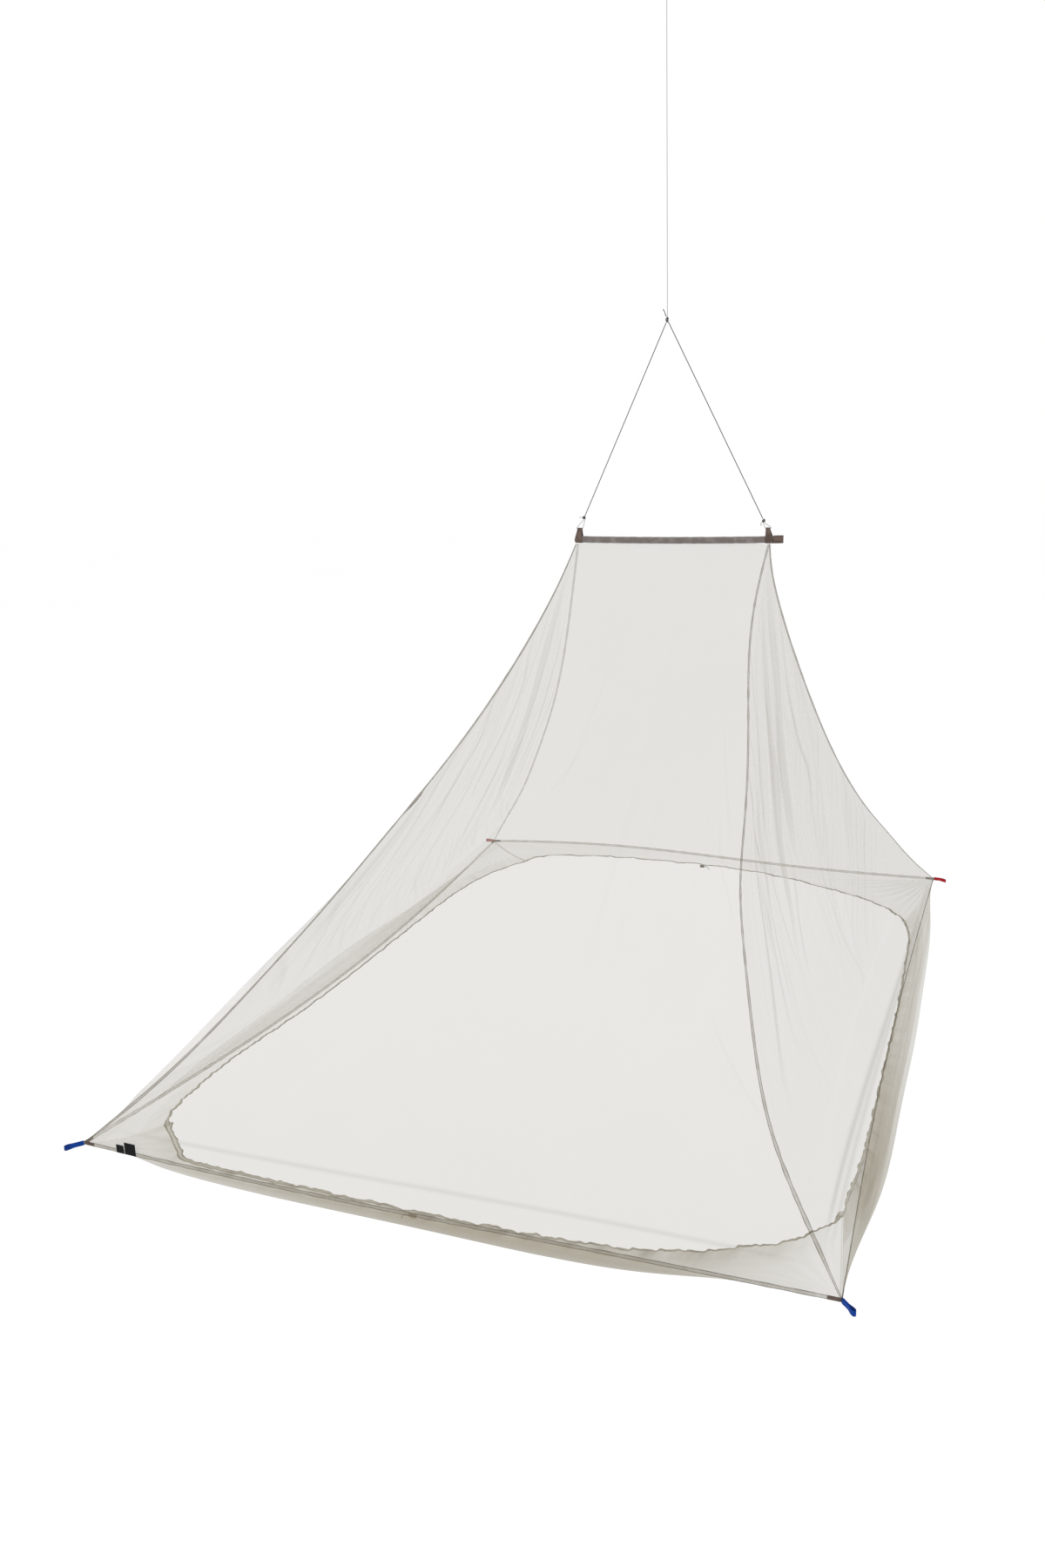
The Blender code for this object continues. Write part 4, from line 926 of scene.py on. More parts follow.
# side: (how far down its first gather joins the ridge at the wall's end, how much further its last one does,
# over what height they bend that way, how far they lean below)
GATHER_BENDS = {"left": (0.03, 0.32, 0.22, -0.90), "right": (0.02, 0.20, 0.18, -1.40)}
GATHER_JOIN, GATHER_CURVE = 0.97, 1.8  # where across the wall they join it, and how sharply they bend
GATHER_LOSS = 0.8                # how much weaker they are where the photo shows few
# How many more layers a side wall has by the bar, and how far down
CLOSING, CLOSING_REACH = 0.30, 0.10
# (rows, columns) of each wall, and the close rows that follow below a height for the creases there
WALL_GRID = {"left": (170, 400), "right": (170, 400), "front": (150, 260), "rear": (120, 150)}
FOOT_START, FOOT_ROWS = 0.93, 40
SKIRT_GRID = (40, 420)           # a skirt's rows and columns


def wall_edges(side):
    """The top, bottom, left and right edges of a wall."""
    start, end = BASE_SEAMS[side][:2]
    face = side in ("front", "rear")
    inset = WALL_INSET / np.linalg.norm(CORNERS[end] - CORNERS[start])

    def left(down):
        return ridge_edge(start, np.asarray(down) * WALL_END, face, RIDGE_EDGE)

    def right(down):
        return ridge_edge(end, np.asarray(down) * WALL_END, face, RIDGE_EDGE)

    def base(across):
        return BASES[side](inset + (1 - 2 * inset) * np.asarray(across)) + UP * EDGE

    def top(across):
        across = np.asarray(across, float)
        points = left(0.0) + (right(0.0) - left(0.0)) * across[..., None]
        if not face:
            return points
        plateau = np.minimum(1.0, 14 * np.minimum(across, 1 - across))[..., None]
        level = sleeve_axis(points[..., 0]) - UP * (SLEEVE_DIAMETER / 2 + TOP_GAP)
        level[..., 1] += NET_THICKNESS * (-1 if side == "front" else 1)
        return points + (level - points) * plateau

    return top, pinned(base, left(1.0), right(1.0)), left, right


def fold_depth(side, across, down):
    """How far a side wall stands out of its even surface, as a share of its local width."""
    total = np.zeros(np.broadcast(across, down).shape)
    for middle, width, depth, crest, reach in SIDE_FOLDS.get(side, ()):
        share = 1.0 if middle > WHOLE_FOLD_FROM else FOLD_SHARE
        total += share * depth * np.exp(-((across - middle) / width) ** 2) * bump((down - crest) / reach)
    return total * eased(across, down, *FOLD_EASE)


def eased(across, down, start, end, top, foot):
    """1 over most of a wall, falling to 0 at its edges at these rates."""
    whole = np.ones(np.broadcast(across, down).shape)
    return np.minimum.reduce([whole, start * across * whole, end * (1 - across) * whole, top * down * whole,
                              foot * (1 - down) * whole])


def bowed(start, end, bend, across):
    """A height that goes from start to end across a wall, by way of a bow."""
    return start + (end - start) * across + bend * bow(across)


def gather_line(side, foot, crest, down):
    """Where a fine gather runs that stands at foot across the wall at its crest. The gathers of a side wall
    close up near the bar on the ridge at its end, and lean further down."""
    if side not in GATHER_BENDS:
        return foot + 0 * down
    first, lower, reach, lean = GATHER_BENDS[side]
    low = rise((crest - 0.55) / 0.25) if side == "left" else rise((foot - 0.50) / 0.25) * rise(crest / 0.5)
    bent = np.clip((first + lower * foot ** 2 + reach - down) / reach, 0, 1) ** GATHER_CURVE
    return foot + (GATHER_JOIN - foot) * bent + lean * low * (down - crest)


def gather_strength(side, foot, crest, down):
    """The photo shows few gathers by the left wall's foot and in the lower middle of the right one."""
    if side == "left":
        return 1 - GATHER_LOSS * rise((down - 0.74) / 0.12)
    if side == "right":
        return 1 - GATHER_LOSS * rise((crest - 0.36) / 0.15) * rise((0.60 - foot) / 0.15)
    return 1.0


def pleat_profile(near):
    """Across a pleat, from 0 in its middle to 1 at its half width: dark edges and soft sides."""
    return 0.75 * rise((1.3 - near) / 0.5) + 0.25 * np.exp(-((near - 0.85) / 0.30) ** 2)


def held_by_pleats(side, across, down):
    """How much more light a wall's pleats hold back, and how far they stand out, as a share of its width."""
    total, raised = (np.zeros(np.broadcast(across, down).shape) for _ in range(2))
    for first, last, *places, top_width, middle_width, foot_width, held in PLEATS[side]:
        share = (down - first) / (last - first)
        route = along_line([(k / 4, place) for k, place in enumerate(places)], 33)
        middle = np.interp(share, route[:, 0], route[:, 1])
        width = np.interp(share, PLEAT_PLACES, (top_width, middle_width, foot_width))
        fade = rise((share + PLEAT_BEFORE) / PLEAT_FADE) * rise((1 + PLEAT_BEYOND - share) / PLEAT_FADE)
        near = np.abs(across - middle) / width
        total += held * fade * pleat_profile(near)
        raised += PLEAT_RISE * width * fade * np.exp(-near ** 2)
    return total, raised * eased(across, down, *PLEAT_EASE)


def held_by_creases(side, across, down):
    """How much more light the creases and layers near a wall's foot hold back, and its billow."""
    total = np.zeros(np.broadcast(across, down).shape)
    for start, end, bend, width, held in FOOT_CREASES[side]:
        near = np.abs(down - bowed(start, end, bend, across)) / width
        total += held * np.exp(-near ** 2) * rise(across / CREASE_FADE) * rise((1 - across) / CREASE_FADE)
    if side in FOOT_LAYERS:
        start, end, bend, soft, held = FOOT_LAYERS[side]
        total += held * rise((down - bowed(start, end, bend, across)) / soft)
    if side in BILLOW:
        place, height, held = BILLOW[side]
        below = rise((down - height + BILLOW_SOFT / 2) / BILLOW_SOFT)
        total += held * rise((across - place) / (1 - place)) * below
    return total


def held_by_gathers(side, across, down):
    """How much more light a wall's many fine gathers hold back."""
    total = np.zeros(np.broadcast(across, down).shape)
    count, strongest, seed = FINE_GATHERS[side]
    random = np.random.default_rng(seed)
    for _ in range(count):
        foot, width, strength, crest, reach, lean = (random.uniform(*limits) for limits in GATHER_RANGES)
        middle = gather_line(side, foot, crest, down) + lean * (down - crest)
        held = strongest * strength * gather_strength(side, foot, crest, down)
        total += held * np.exp(-((across - middle) / width) ** 2) * bump((down - crest) / reach)
    return total


def wall_rows(rows):
    """Evenly spaced heights, with close ones above the wall's foot for the creases there."""
    return np.concatenate([np.linspace(0, FOOT_START, rows), np.linspace(FOOT_START, 1, FOOT_ROWS)[1:]])


def make_wall(side):
    top, bottom, left, right = wall_edges(side)
    rows, columns = WALL_GRID[side]
    across, down = np.linspace(0, 1, columns + 1), wall_rows(rows)
    a, d = across[None], down[:, None]
    width = np.linalg.norm(right(down) - left(down), axis=-1)[:, None]
    pleats, raised = held_by_pleats(side, a, d)
    crease = BASE_CREASE[side] * bump((d - CREASE_PLACE) / CREASE_REACH) * np.sin(np.pi * a)
    drawn_in = crease - (fold_depth(side, a, d) + raised) * width
    points = patch(top, bottom, left, right, across, down) + INWARD[side] * drawn_in[..., None]
    closing = CLOSING * np.exp(-d / CLOSING_REACH) if side in SIDE_FOLDS else 0.0
    base = np.interp(d, WALL_HEIGHTS, WALL_OPACITY[side])
    folds = pleats + held_by_creases(side, a, d) + held_by_gathers(side, a, d)
    start, end = BASE_SEAMS[side][:2]
    wide = np.linalg.norm(CORNERS[end] - CORNERS[start]) * (a - 0.5) + 0 * d
    long = lengths_along(points, 0).mean(axis=1, keepdims=True) + 0 * a
    mesh = grid_mesh(f"net_wall_{side}", points, wide, long)
    set_values(mesh, "opacity", 1 - (1 - base) ** (1 + closing) * (1 - folds))
    return see_through(add_piece(f"net_wall_{side}", mesh, "net", f"wall_{side}"))


def see_through(piece):
    """Net and tape throw no shadow, because so little of them is thread."""
    piece.visible_shadow = False
    piece.visible_diffuse = False
    return piece


# ---- Skirt ----
def mitre_line(corner, side):
    """From under a base corner to the hem's corner, on one side of the mitre."""
    start, end = BASE_SEAMS[side][:2]
    inner = HEMS[side](0.0 if corner == start else 1.0)
    outer = CORNERS[corner] - UP * EDGE
    outer = outer + unit((inner - outer) * (1, 1, 0)) * MITRE_START
    towards = (CORNERS[end] - CORNERS[start]) * (1 if corner == start else -1)
    aside = unit(np.cross(UP, inner - outer)) * MITRE_GAP / 2
    aside = aside * math.copysign(1, aside @ towards)

    def at(inward):
        inward = np.asarray(inward, float)[..., None]
        return outer + (inner - outer) * inward + aside - UP * MITRE_SAG * np.sin(np.pi * inward)

    return at


def skirt_edges(side):
    start, end = BASE_SEAMS[side][:2]
    left, right = mitre_line(start, side), mitre_line(end, side)

    def seam(across):
        return BASES[side](across) - UP * EDGE

    return pinned(seam, left(0.0), right(0.0)), pinned(HEMS[side], left(1.0), right(1.0)), left, right


# The hem's tunnel: how far it reaches inward from the skirt's edge, and how thick it is round the drawcord
HEM_WIDTH, HEM_DEPTH = 0.0080, 0.0028
# At SKIRT_PLACES: how many times as wide the tunnel is, how far the hem waves, and how crinkled its cloth is
HEM_WIDTHS = {"front": (1.75, 1.60, 0.80, 0.65, 0.55), "right": (0.65, 0.80, 0.80, 0.80, 0.80),
              "rear": (0.85, 0.85, 0.80, 0.80, 0.80), "left": (0.80, 0.75, 0.70, 0.70, 0.85)}
HEM_WAVES = {"front": (0.0015, 0.0020, 0.0028, 0.0042, 0.0028),
             "right": (0.0020, 0.0030, 0.0024, 0.0022, 0.0018),
             "rear": (0.0022, 0.0026, 0.0026, 0.0024, 0.0022),
             "left": (0.0016, 0.0016, 0.0018, 0.0018, 0.0030)}
HEM_CRINKLES = {"front": (0.15, 0.15, 0.35, 0.30, 0.25), "right": (0.55, 0.22, 0.15, 0.15, 0.15),
                "rear": (0.30, 0.30, 0.30, 0.30, 0.80), "left": (0.35, 0.18, 0.12, 0.12, 0.34)}
HEM_LEAST = 0.45                 # the tunnel's least width between crinkles, as a share of the plain one
HEM_STILL = 0.012                # the hem doesn't wave this near to its mitres
HEM_NEAR = 0.45                  # the share of the way in from which the cloth waves with the hem
HEM_TURN, HEM_STEPS = 330, 14    # degrees that the tunnel's cloth turns, and in how many steps
# What the tunnel holds back along its two edges, and between them at SKIRT_PLACES
HEM_EDGES = 0.78
HEM_MIDDLES = {"front": (0.36, 0.42, 0.56, 0.66, 0.74), "right": (0.34, 0.50, 0.72, 0.74, 0.74),
               "rear": (0.74, 0.74, 0.72, 0.70, 0.66), "left": (0.66, 0.74, 0.76, 0.74, 0.56)}
# The share of the way in up to which the seam's gathers reach and from which the hem's do, and how soft both
# are there
SEAM_GATHERS_TO, HEM_GATHERS_FROM, GATHERS_SOFT = 0.20, 0.64, 0.05
HEM_LAYERS = 0.45                # how many layers more, and how uneven, the cloth has just inside the hem
WAVE_LENGTHS = (0.130, 0.080, 0.050, 0.030, 0.018)
# The seeds of a skirt's waves, and what is added for each kind
WAVE_SEEDS = {"front": 5, "right": 6, "rear": 7, "left": 8}
LIFTED, PUSHED, CRINKLED, LAYERED, UNEVEN = 0, 100, 200, 300, 400
# corner: (what its mitre seam holds back, how much wider the hem is bunched there, what its creases hold
# back)
MITRES = {"front_left": (0.25, 1.2, 0.110), "front_right": (0.45, 1.0, 0.090),
          "rear_right": (0.35, 0.5, 0.300), "rear_left": (0.80, 0.2, 0.120)}
# Half the width of a mitre's seam, and how far from it the hem is bunched
MITRE_STITCH, BUNCH_REACH = 0.0032, 0.016
# How wide the fine creases spread from a corner: metres along the seam for each metre inward
SPOKES = (0.10, 0.24, 0.42, 0.66, 0.95, 1.35, 1.90, 2.80)
SPOKE_REACH = 0.42


def ruffles(side, across, length, kind):
    """Uneven waves along a hem, between about -1 and 1."""
    random = np.random.default_rng(WAVE_SEEDS[side] + kind)
    place = across * length
    total = np.zeros_like(across)
    for size in WAVE_LENGTHS:
        bend = 1.5 * np.sin(place * random.uniform(3, 9) + random.uniform(0, 6.3))
        weight = random.uniform(0.4, 1.0) * math.sqrt(size / WAVE_LENGTHS[0])
        total = total + weight * np.sin(2 * np.pi * (place / size) + random.uniform(0, 6.3) + bend)
    return total / 1.6


def hem_tunnel(line, inward_way, fat):
    """The cloth folded back round the drawcord: rows from the skirt's edge inward and back below, and how
    far each lies from the tunnel's middle."""
    inner = unit(np.cross(unit(np.gradient(line, axis=0)), UP))
    inner = inner * np.where(inner @ inward_way > 0, 1, -1)[:, None]
    turns = np.radians(np.linspace(180, 180 - HEM_TURN, HEM_STEPS))[1:]
    rows = [line + fat * (inner * HEM_WIDTH / 2 * (1 + math.cos(turn)) + UP * HEM_DEPTH / 2 * math.sin(turn))
            for turn in turns]
    return np.array(rows), np.cos(turns)


def skirt_columns(length):
    """Evenly spaced places along a skirt, with close ones by its mitre seams."""
    _, columns = SKIRT_GRID
    close = np.array([0.5, 1.0, 1.6, 2.4, 3.6]) * MITRE_STITCH / length
    return np.unique(np.concatenate([np.linspace(0, 1, columns + 1), close, 1 - close]))


def near_hem(i):
    return rise((i - HEM_NEAR) / (1 - HEM_NEAR))


def from_corners(side, a, length):
    """Each of a skirt's corners, with the distance from it along the hem."""
    start, end = BASE_SEAMS[side][:2]
    return (start, a * length), (end, (1 - a) * length)


def skirt_cloth(side, across, inward, length):
    """Rows of points from the skirt's seam to its hem: bellied, sagging and waving by the hem."""
    a, i = across[None], inward[:, None]
    belly, sag = SKIRT_BELLIES[side]
    quick, slow = BELLY_WAVES
    uneven = BELLY_UNEVEN[side] * np.sin(a * length * quick + 2.0) * np.sin(a * length * slow)
    bellied = waves(belly, a) * (1 + uneven) * np.sin(np.pi * i ** BELLY_SKEW)
    sagged = waves(sag, a) * np.sin(np.pi * i)
    ends = rise(np.minimum(a, 1 - a) * length / HEM_STILL)
    size = np.interp(a, SKIRT_PLACES, HEM_WAVES[side]) * ends * near_hem(i)
    lifted = ruffles(side, a, length, LIFTED) * size - sagged
    pushed = 0.8 * ruffles(side, a, length, PUSHED) * size - bellied
    points = patch(*skirt_edges(side), across, inward)
    return points + UP * lifted[..., None] + INWARD[side] * pushed[..., None]


def hem_fatness(side, across, length):
    """How many times as wide and deep as plain the hem's tunnel is."""
    widths, crinkles = (np.interp(across, SKIRT_PLACES, table[side]) for table in (HEM_WIDTHS, HEM_CRINKLES))
    crinkled = 1 + crinkles * (ruffles(side, across, length, CRINKLED) + 0.4 * crinkles)
    bunches = sum(MITRES[corner][1] * np.exp(-(away / BUNCH_REACH) ** 2)
                  for corner, away in from_corners(side, across, length))
    return widths * np.maximum(crinkled, HEM_LEAST) + bunches


def skirt_clear(side, a, i, length):
    """How much light passes a skirt between its seam and its hem."""
    gathered = rise((SEAM_GATHERS_TO + GATHERS_SOFT - i) / GATHERS_SOFT)
    gathered = gathered + rise((i - HEM_GATHERS_FROM) / GATHERS_SOFT)
    layers = 1 + SKIRT_GATHERS[side] * gathered
    layers = layers + near_hem(i) ** 3 * HEM_LAYERS * (1 + ruffles(side, a, length, LAYERED))
    clear = (1 - np.interp(a, SKIRT_PLACES, SKIRT_OPACITY[side])) ** layers
    for first, last, width, held in SKIRT_FOLDS[side]:
        middle = first + (last - first) * a + 0.03 * np.sin(a * length * 4 + 20 * first)
        clear = clear * (1 - held * np.exp(-((i - middle) / width) ** 2) * rise(np.minimum(a, 1 - a) / 0.15))
    for corner, away in from_corners(side, a, length):
        stitch, _, creased = MITRES[corner]
        inner = HEMS[side](0.0 if corner == BASE_SEAMS[side][0] else 1.0)
        deep = i * np.linalg.norm(inner - CORNERS[corner])
        for spoke in SPOKES:
            near = (away / (deep + 0.004) - spoke) / (0.09 * spoke + 0.02)
            clear = clear * (1 - creased * np.exp(-near ** 2) * bump(np.hypot(away, deep) / SPOKE_REACH))
        clear = clear * (1 - stitch * np.exp(-(away / MITRE_STITCH) ** 2))
    return clear


def make_skirt(side):
    length = line_length(skirt_edges(side)[1](np.linspace(0, 1, 200)))
    across, inward = skirt_columns(length), np.linspace(0, 1, SKIRT_GRID[0] + 1)
    a, i = across[None], inward[:, None]
    cloth = skirt_cloth(side, across, inward, length)
    tunnel, around = hem_tunnel(cloth[-1], INWARD[side], hem_fatness(side, across, length)[:, None])
    middles = np.interp(across, SKIRT_PLACES, HEM_MIDDLES[side])
    edges = rise((np.abs(around) - 0.30) / 0.35)[:, None]
    rolled = (middles + (HEM_EDGES - middles) * edges) * (1 + 0.10 * ruffles(side, a, length, UNEVEN))
    opacity = np.concatenate([1 - skirt_clear(side, a, i, length), rolled])
    points = np.concatenate([cloth, tunnel])
    mesh = grid_mesh(f"net_skirt_{side}", points, lengths_along(points, 1), lengths_along(points, 0))
    set_values(mesh, "opacity", np.clip(opacity, 0.05, 0.97))
    set_values(mesh, "warmth", np.full(opacity.shape, SKIRT_WARMTH[side]))
    return see_through(add_piece(f"net_skirt_{side}", mesh, "net", f"skirt_{side}"))


# ---- Tapes and corner webbing ----
# How much of a tape's density it keeps where the photo shows it paler
TAPE_HELD = {"ridge_tape_rear_left": 0.60, "base_tape_rear": 0.80, "base_tape_left": 0.75}
# corner: (where its ridge tape has turned over, for how far, how much wider it shows there)
TWISTS = {"front_left": (0.396, 0.019, 2.8)}
TURNED_ASIDE = 0.74              # a tape that has turned over is as dark as at this share of its half width
# How uneven a tape's width is, and its points along and across
TAPE_WAVER, TAPE_POINTS, TAPE_COLUMNS = 0.10, 260, 6
# A ridge tape narrows by the first share, in the last part of its length that the second one gives
RIDGE_NARROWED, RIDGE_NARROW_LAST = 0.45, 0.07
# corner: how wide its ridge tape shows at RIDGE_PLACES, from the bar to its foot
RIDGE_PLACES = (0.0, 0.55, 0.92, 1.0)
RIDGE_SHOWN = {"front_right": (0.80, 0.75, 1.35, 1.20), "front_left": (0.90, 0.90, 1.50, 1.20),
               "rear_right": (1.0, 1.0, 1.0, 1.0), "rear_left": (0.9, 0.9, 0.9, 0.9)}


def strip(start, end, columns):
    """Rows of points from one edge line to another."""
    share = np.linspace(0, 1, columns + 1)[None, :, None]
    return start[:, None] * (1 - share) + end[:, None] * share


def make_tape(name, node, middle, across, width, twist=0.0):
    """A seam tape along a line, uneven in width. twist is how much wider and denser its inner half is, where
    it has turned over."""
    random = np.random.default_rng(len(name))
    place = lengths_along(middle, 0)
    waver = sum(np.sin(place * random.uniform(20, 160) + random.uniform(0, 6)) for _ in range(4)) / 2
    half = across * (width / 2 * (1 + TAPE_WAVER * waver))[:, None]
    turned = twist * np.ones(len(middle))
    points = strip(middle - half, middle + half * (1 + turned)[:, None], TAPE_COLUMNS)
    piece = band(name, points, TAPE_THICKNESS, "tape", node)
    aside = np.abs(np.linspace(-1, 1, points.shape[1]))[None]
    set_values(piece.data, "aside", np.maximum(aside, TURNED_ASIDE * np.minimum(turned, 1)[:, None]))
    set_values(piece.data, "held", np.full(points.shape[:2], TAPE_HELD.get(node, 1.0)))
    return see_through(piece)


def make_ridge_tape(corner):
    share = np.linspace(0, 1, TAPE_POINTS)
    narrowed = 1 - RIDGE_NARROWED * rise((share - 1 + RIDGE_NARROW_LAST) / RIDGE_NARROW_LAST)
    shown = np.interp(share, RIDGE_PLACES, RIDGE_SHOWN[corner]) * narrowed
    across = ridge_across(corner, share) * shown[:, None]
    place, reach, wider = TWISTS.get(corner, (0.0, 1.0, 0.0))
    return make_tape(f"seam_tape_{corner}", f"ridge_tape_{corner}", RIDGES[corner](share), across,
                     RIDGE_TAPE_WIDTH, wider * np.exp(-((share - place) / reach) ** 4))


def make_base_tape(side):
    start, end = BASE_SEAMS[side][:2]
    first = (CORNER_REACH + CLEARANCE) / np.linalg.norm(CORNERS[end] - CORNERS[start])
    middle = BASES[side](np.linspace(first, 1 - first, TAPE_POINTS))
    return make_tape(f"seam_tape_{side}", f"base_tape_{side}", middle, np.broadcast_to(UP, middle.shape),
                     TAPE_WIDTH)


def upright(name, node, middle, height, material, columns, ring=False):
    """A band of webbing that stands upright along a line."""
    points = strip(middle - UP * height / 2, middle + UP * height / 2, columns)
    return band(name, points, WEBBING_THICKNESS, material, node, ring)


def make_corner_patch(corner):
    arms = []
    for side, (start, end, *_) in BASE_SEAMS.items():
        length = np.linalg.norm(CORNERS[end] - CORNERS[start])
        if start == corner:
            arms.append(BASES[side](np.linspace(CORNER_REACH / length, 0, 8)))
        if end == corner:
            arms.append(BASES[side](np.linspace(1 - CORNER_REACH / length, 1, 8)))
    middle = np.concatenate([arms[0], arms[1][::-1][1:]])
    return upright(f"webbing_patch_{corner}", f"corner_patch_{corner}", middle, TAPE_WIDTH,
                   "webbing_brown", 4)


def make_corner_loop(corner):
    material, angle, length, droop = CORNER_LOOPS[corner]
    signs, angle = np.sign(CORNERS[corner]), math.radians(angle)
    outward = np.array([signs[0] * math.cos(angle), signs[1] * math.sin(angle), 0.0])
    aside = np.cross(UP, outward)
    outline = list(LOOP_OUTLINE) + [(along, -half) for along, half in reversed(LOOP_OUTLINE[1:-1])]
    middle = np.array([CORNERS[corner] + outward * (LOOP_START + along * length) + aside * half
                       - UP * droop * along ** 2 for along, half in outline])
    middle = along_line(np.vstack([middle, middle[:1]]), 57)[:-1]
    return upright(f"webbing_loop_{corner}", f"corner_loop_{corner}", middle, LOOP_WIDTH, material, 6,
                   ring=True)


# ---- Bar, sleeve, slings and pocket ----
def arc(radius, start, end, steps):
    """Points (Y, Z) of an arc between two angles in degrees."""
    angle = np.radians(np.linspace(start, end, steps + 1))
    return np.stack([radius * np.cos(angle), radius * np.sin(angle)], -1)


# How far the sleeve's cloth wrinkles, and how far its seam stands out and reaches, in metres and radians
WRINKLE, SLEEVE_SEAM, SLEEVE_SEAM_REACH = 0.00012, 0.0007, 0.22


def make_sleeve():
    x = np.linspace(SLEEVE_LEFT, SLEEVE_RIGHT, 220)
    around = np.linspace(0, 2 * np.pi, 33)[:-1]
    random = np.random.default_rng(3)
    radius = (SLEEVE_DIAMETER - SLEEVE_WALL) / 2
    wrinkles = sum(random.uniform(0.3, 1.0) * np.sin(x[None] * random.uniform(60, 500) + around[:, None] * k
                                                     + random.uniform(0, 6)) for k in (-3, -2, -1, 1, 2, 3))
    seam = SLEEVE_SEAM * np.exp(-((around[:, None] - 1.5 * np.pi) / SLEEVE_SEAM_REACH) ** 2)
    reach = radius + WRINKLE * wrinkles + seam
    spoke = np.stack([np.zeros_like(around), np.cos(around), np.sin(around)], -1)
    points = sleeve_axis(x)[None] + spoke[:, None] * reach[..., None]
    return band("sleeve_cloth", points, SLEEVE_WALL, "sleeve", "bar_sleeve", ring=True)


def sling_outline():
    """A closed belt (Y, Z) around the sleeve and over the tie loop, from the sleeve's axis."""
    round_sleeve = SLEEVE_DIAMETER / 2 + CLEARANCE + WEBBING_THICKNESS / 2 + SLING_SLACK
    lean = math.degrees(math.asin((round_sleeve - SLING_TOP_RADIUS) / SLING_RISE))
    lower = arc(round_sleeve, lean, -180 - lean, 30)
    upper = arc(SLING_TOP_RADIUS, 180 - lean, lean, 14) + (0, SLING_RISE)
    between = np.linspace(0, 1, 10)[1:-1, None]
    rising = lower[-1] + (upper[0] - lower[-1]) * between
    falling = upper[-1] + (lower[0] - upper[-1]) * between
    return np.vstack([lower, rising, upper, falling])


def make_sling(side):
    low_left, low_right, high_left, high_right = SLINGS[side]
    rows = []
    for y, z in sling_outline():
        up = min(max(z / SLING_RISE, 0.0), 1.0)
        x = np.linspace(low_left + (high_left - low_left) * up, low_right + (high_right - low_right) * up, 9)
        rows.append(sleeve_axis(x) + (0.0, y, z))
    return band(f"webbing_sling_{side}", np.array(rows), WEBBING_THICKNESS, "webbing_brown", f"sling_{side}",
                ring=True)


def make_pocket():
    """Webbing folded over the bar's right end."""
    turn = POCKET_RIGHT - POCKET_HALF
    bend = arc(POCKET_HALF, -90, 90, 16) + (turn, 0)
    outline = np.vstack([np.linspace((POCKET_LEFT, -POCKET_HALF), (turn, -POCKET_HALF), 6)[:-1], bend,
                         np.linspace((turn, POCKET_HALF), (POCKET_LEFT, POCKET_HALF), 6)[1:]])
    middle = np.column_stack([outline[:, 0], HANG_Y + outline[:, 1],
                              np.full(len(outline), sleeve_axis(POCKET_LEFT)[2])])
    return upright("webbing_pocket", "bar_pocket", middle, POCKET_HEIGHT, "webbing_brown", 10)


# ---- Cord locks and labels ----
# A lock's outline as (radius, distance from its closed end): that end, its ribbed grip, and its head with
# the button
LOCK_FOOT = ((0.0, 0.0), (0.0035, 0.0), (0.0047, 0.0005), (LOCK_RADIUS, 0.0018))
LOCK_GRIP = tuple((LOCK_RADIUS - 0.0004 * (k % 2), 0.0035 + 0.0008 * k) for k in range(9))
LOCK_HEAD = tuple((radius, LOCK_LENGTH - below) for radius, below in (
    (LOCK_RADIUS, 0.0058), (0.0046, 0.0043), (0.0041, 0.0040), (LOCK_BUTTON, 0.0039), (LOCK_BUTTON, 0.0009),
    (0.0031, 0.0002), (0.0022, 0.0), (0.0, 0.0)))
LOCK_SIDES, LOCK_TIP = 28, 0.00005


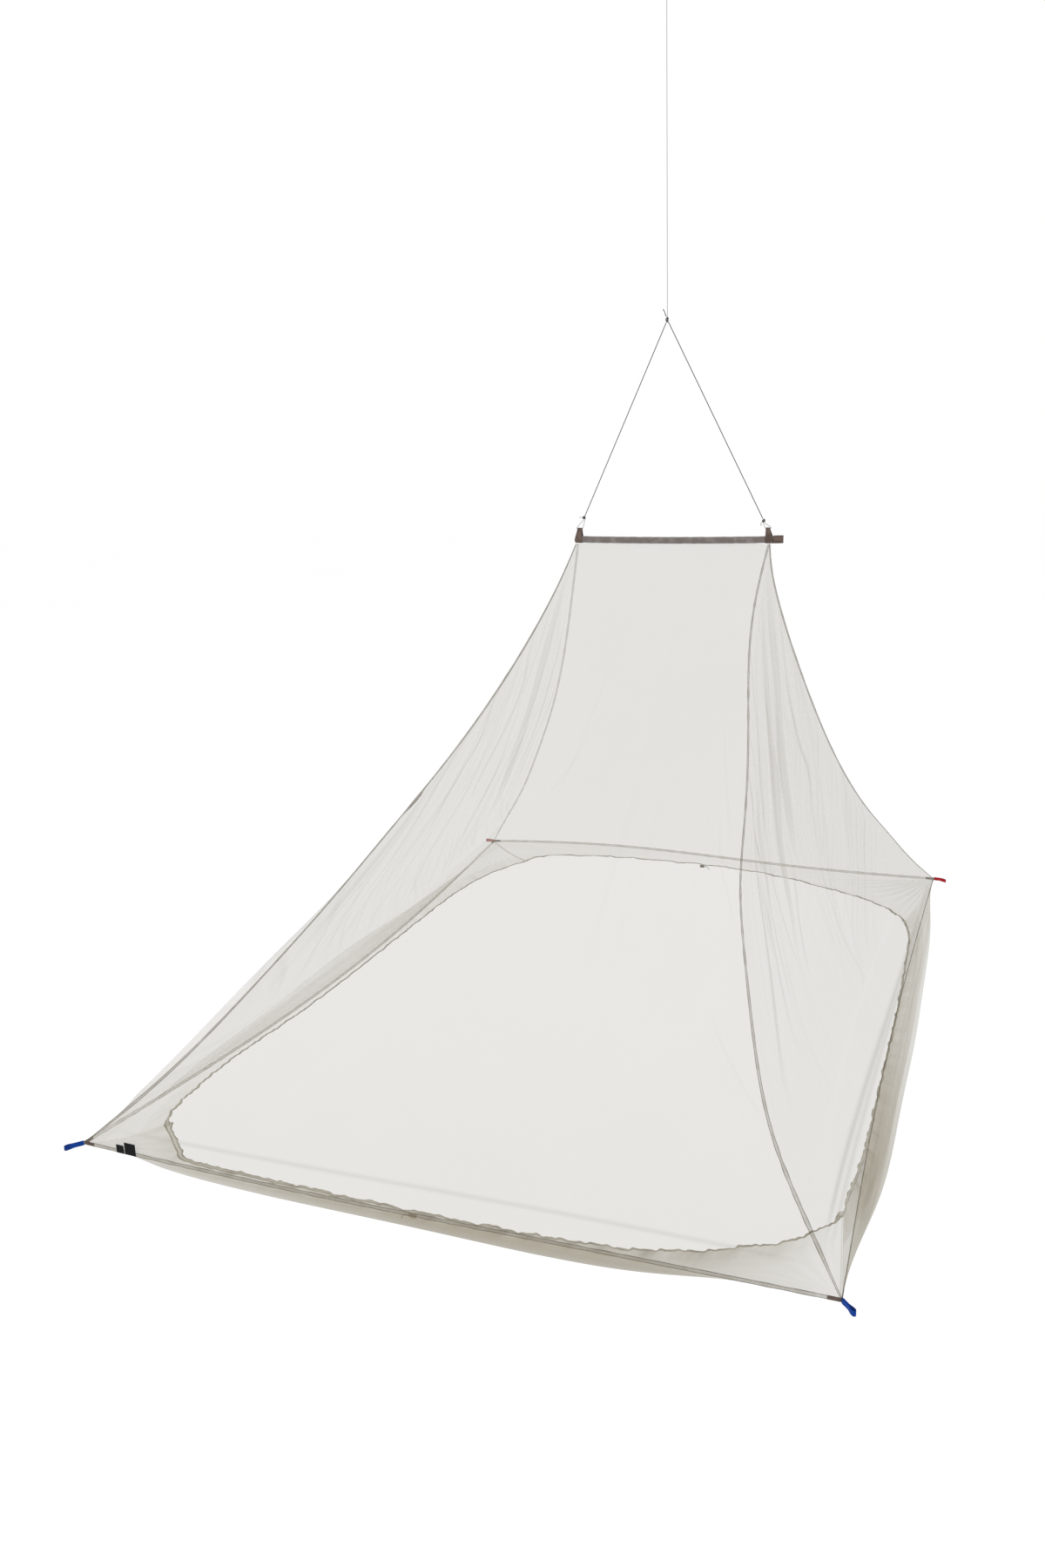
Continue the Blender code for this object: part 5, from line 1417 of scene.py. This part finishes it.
def make_lock(side):
    """A barrel lock with a ribbed grip and a button, on the hem's drawcord, and the cord's end."""
    share, drop, room = CORD_LOCKS[side]
    hem = skirt_edges(side)[1]
    along = unit(direction(hem, share, 0.01) * (1, 1, 0))
    middle = hem(share) - UP * (HEM_THICKNESS / 2 + LOCK_RADIUS + CLEARANCE + room)
    angle = np.linspace(0, 2 * np.pi, LOCK_SIDES + 1)
    spoke = np.cross(UP, along) * np.cos(angle)[:, None] + UP * np.sin(angle)[:, None]
    rows = np.array([middle + along * (LOCK_LENGTH / 2 - height) + spoke * max(radius, LOCK_TIP)
                     for radius, height in LOCK_FOOT + LOCK_GRIP + LOCK_HEAD])
    mesh = grid_mesh(f"barrel_lock_{side}", rows, lengths_along(rows, 1), lengths_along(rows, 0))
    lock = add_piece(f"barrel_lock_{side}", mesh, "lock", f"cord_lock_{side}")
    start = middle - along * (LOCK_LENGTH / 2 + CLEARANCE + 0.0001)
    route = [start - along * distance - UP * share * drop for distance, share in DRAWCORD_END]
    return [lock, cord_piece(f"drawcord_tail_{side}", cord_path(route), THIN_CORD_DIAMETER, "cord_dark",
                             f"drawcord_end_{side}")]


def make_label(name):
    """A bare label, sewn by its lower edge to the outside of the front base tape."""
    start, width, height = LABELS[name]
    share = np.linspace(start, start + width, 9) / BASE_WIDTH
    out = TAPE_THICKNESS / 2 + CLEARANCE + LABEL_THICKNESS / 2
    foot = BASES["front"](share) - UP * TAPE_WIDTH / 2 + (0.0, -out, 0.0)
    points = strip(foot, foot + UP * height, 8)
    return band(f"bare_{name}", points, LABEL_THICKNESS, "label", name)


def make_net():
    tapes = {corner: make_ridge_tape(corner) for corner in CORNERS}
    bases = {side: make_base_tape(side) for side in BASE_SEAMS}
    patches = {corner: make_corner_patch(corner) for corner in CORNERS}
    loops = {corner: make_corner_loop(corner) for corner in CORNERS}
    labels = [make_label(name) for name in LABELS]
    walls = {side: make_wall(side) for side in BASE_SEAMS}
    skirts = {side: make_skirt(side) for side in BASE_SEAMS}
    locks = {side: make_lock(side) for side in CORD_LOCKS}


make_materials()
make_camera()
make_cords()
make_sleeve()
for sling in SLINGS:
    make_sling(sling)
make_pocket()
make_net()
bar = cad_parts["spreader_bar"]
bar.data.materials.clear()
bar.data.materials.append(MATERIALS["bar"])
make_floor()
make_light()
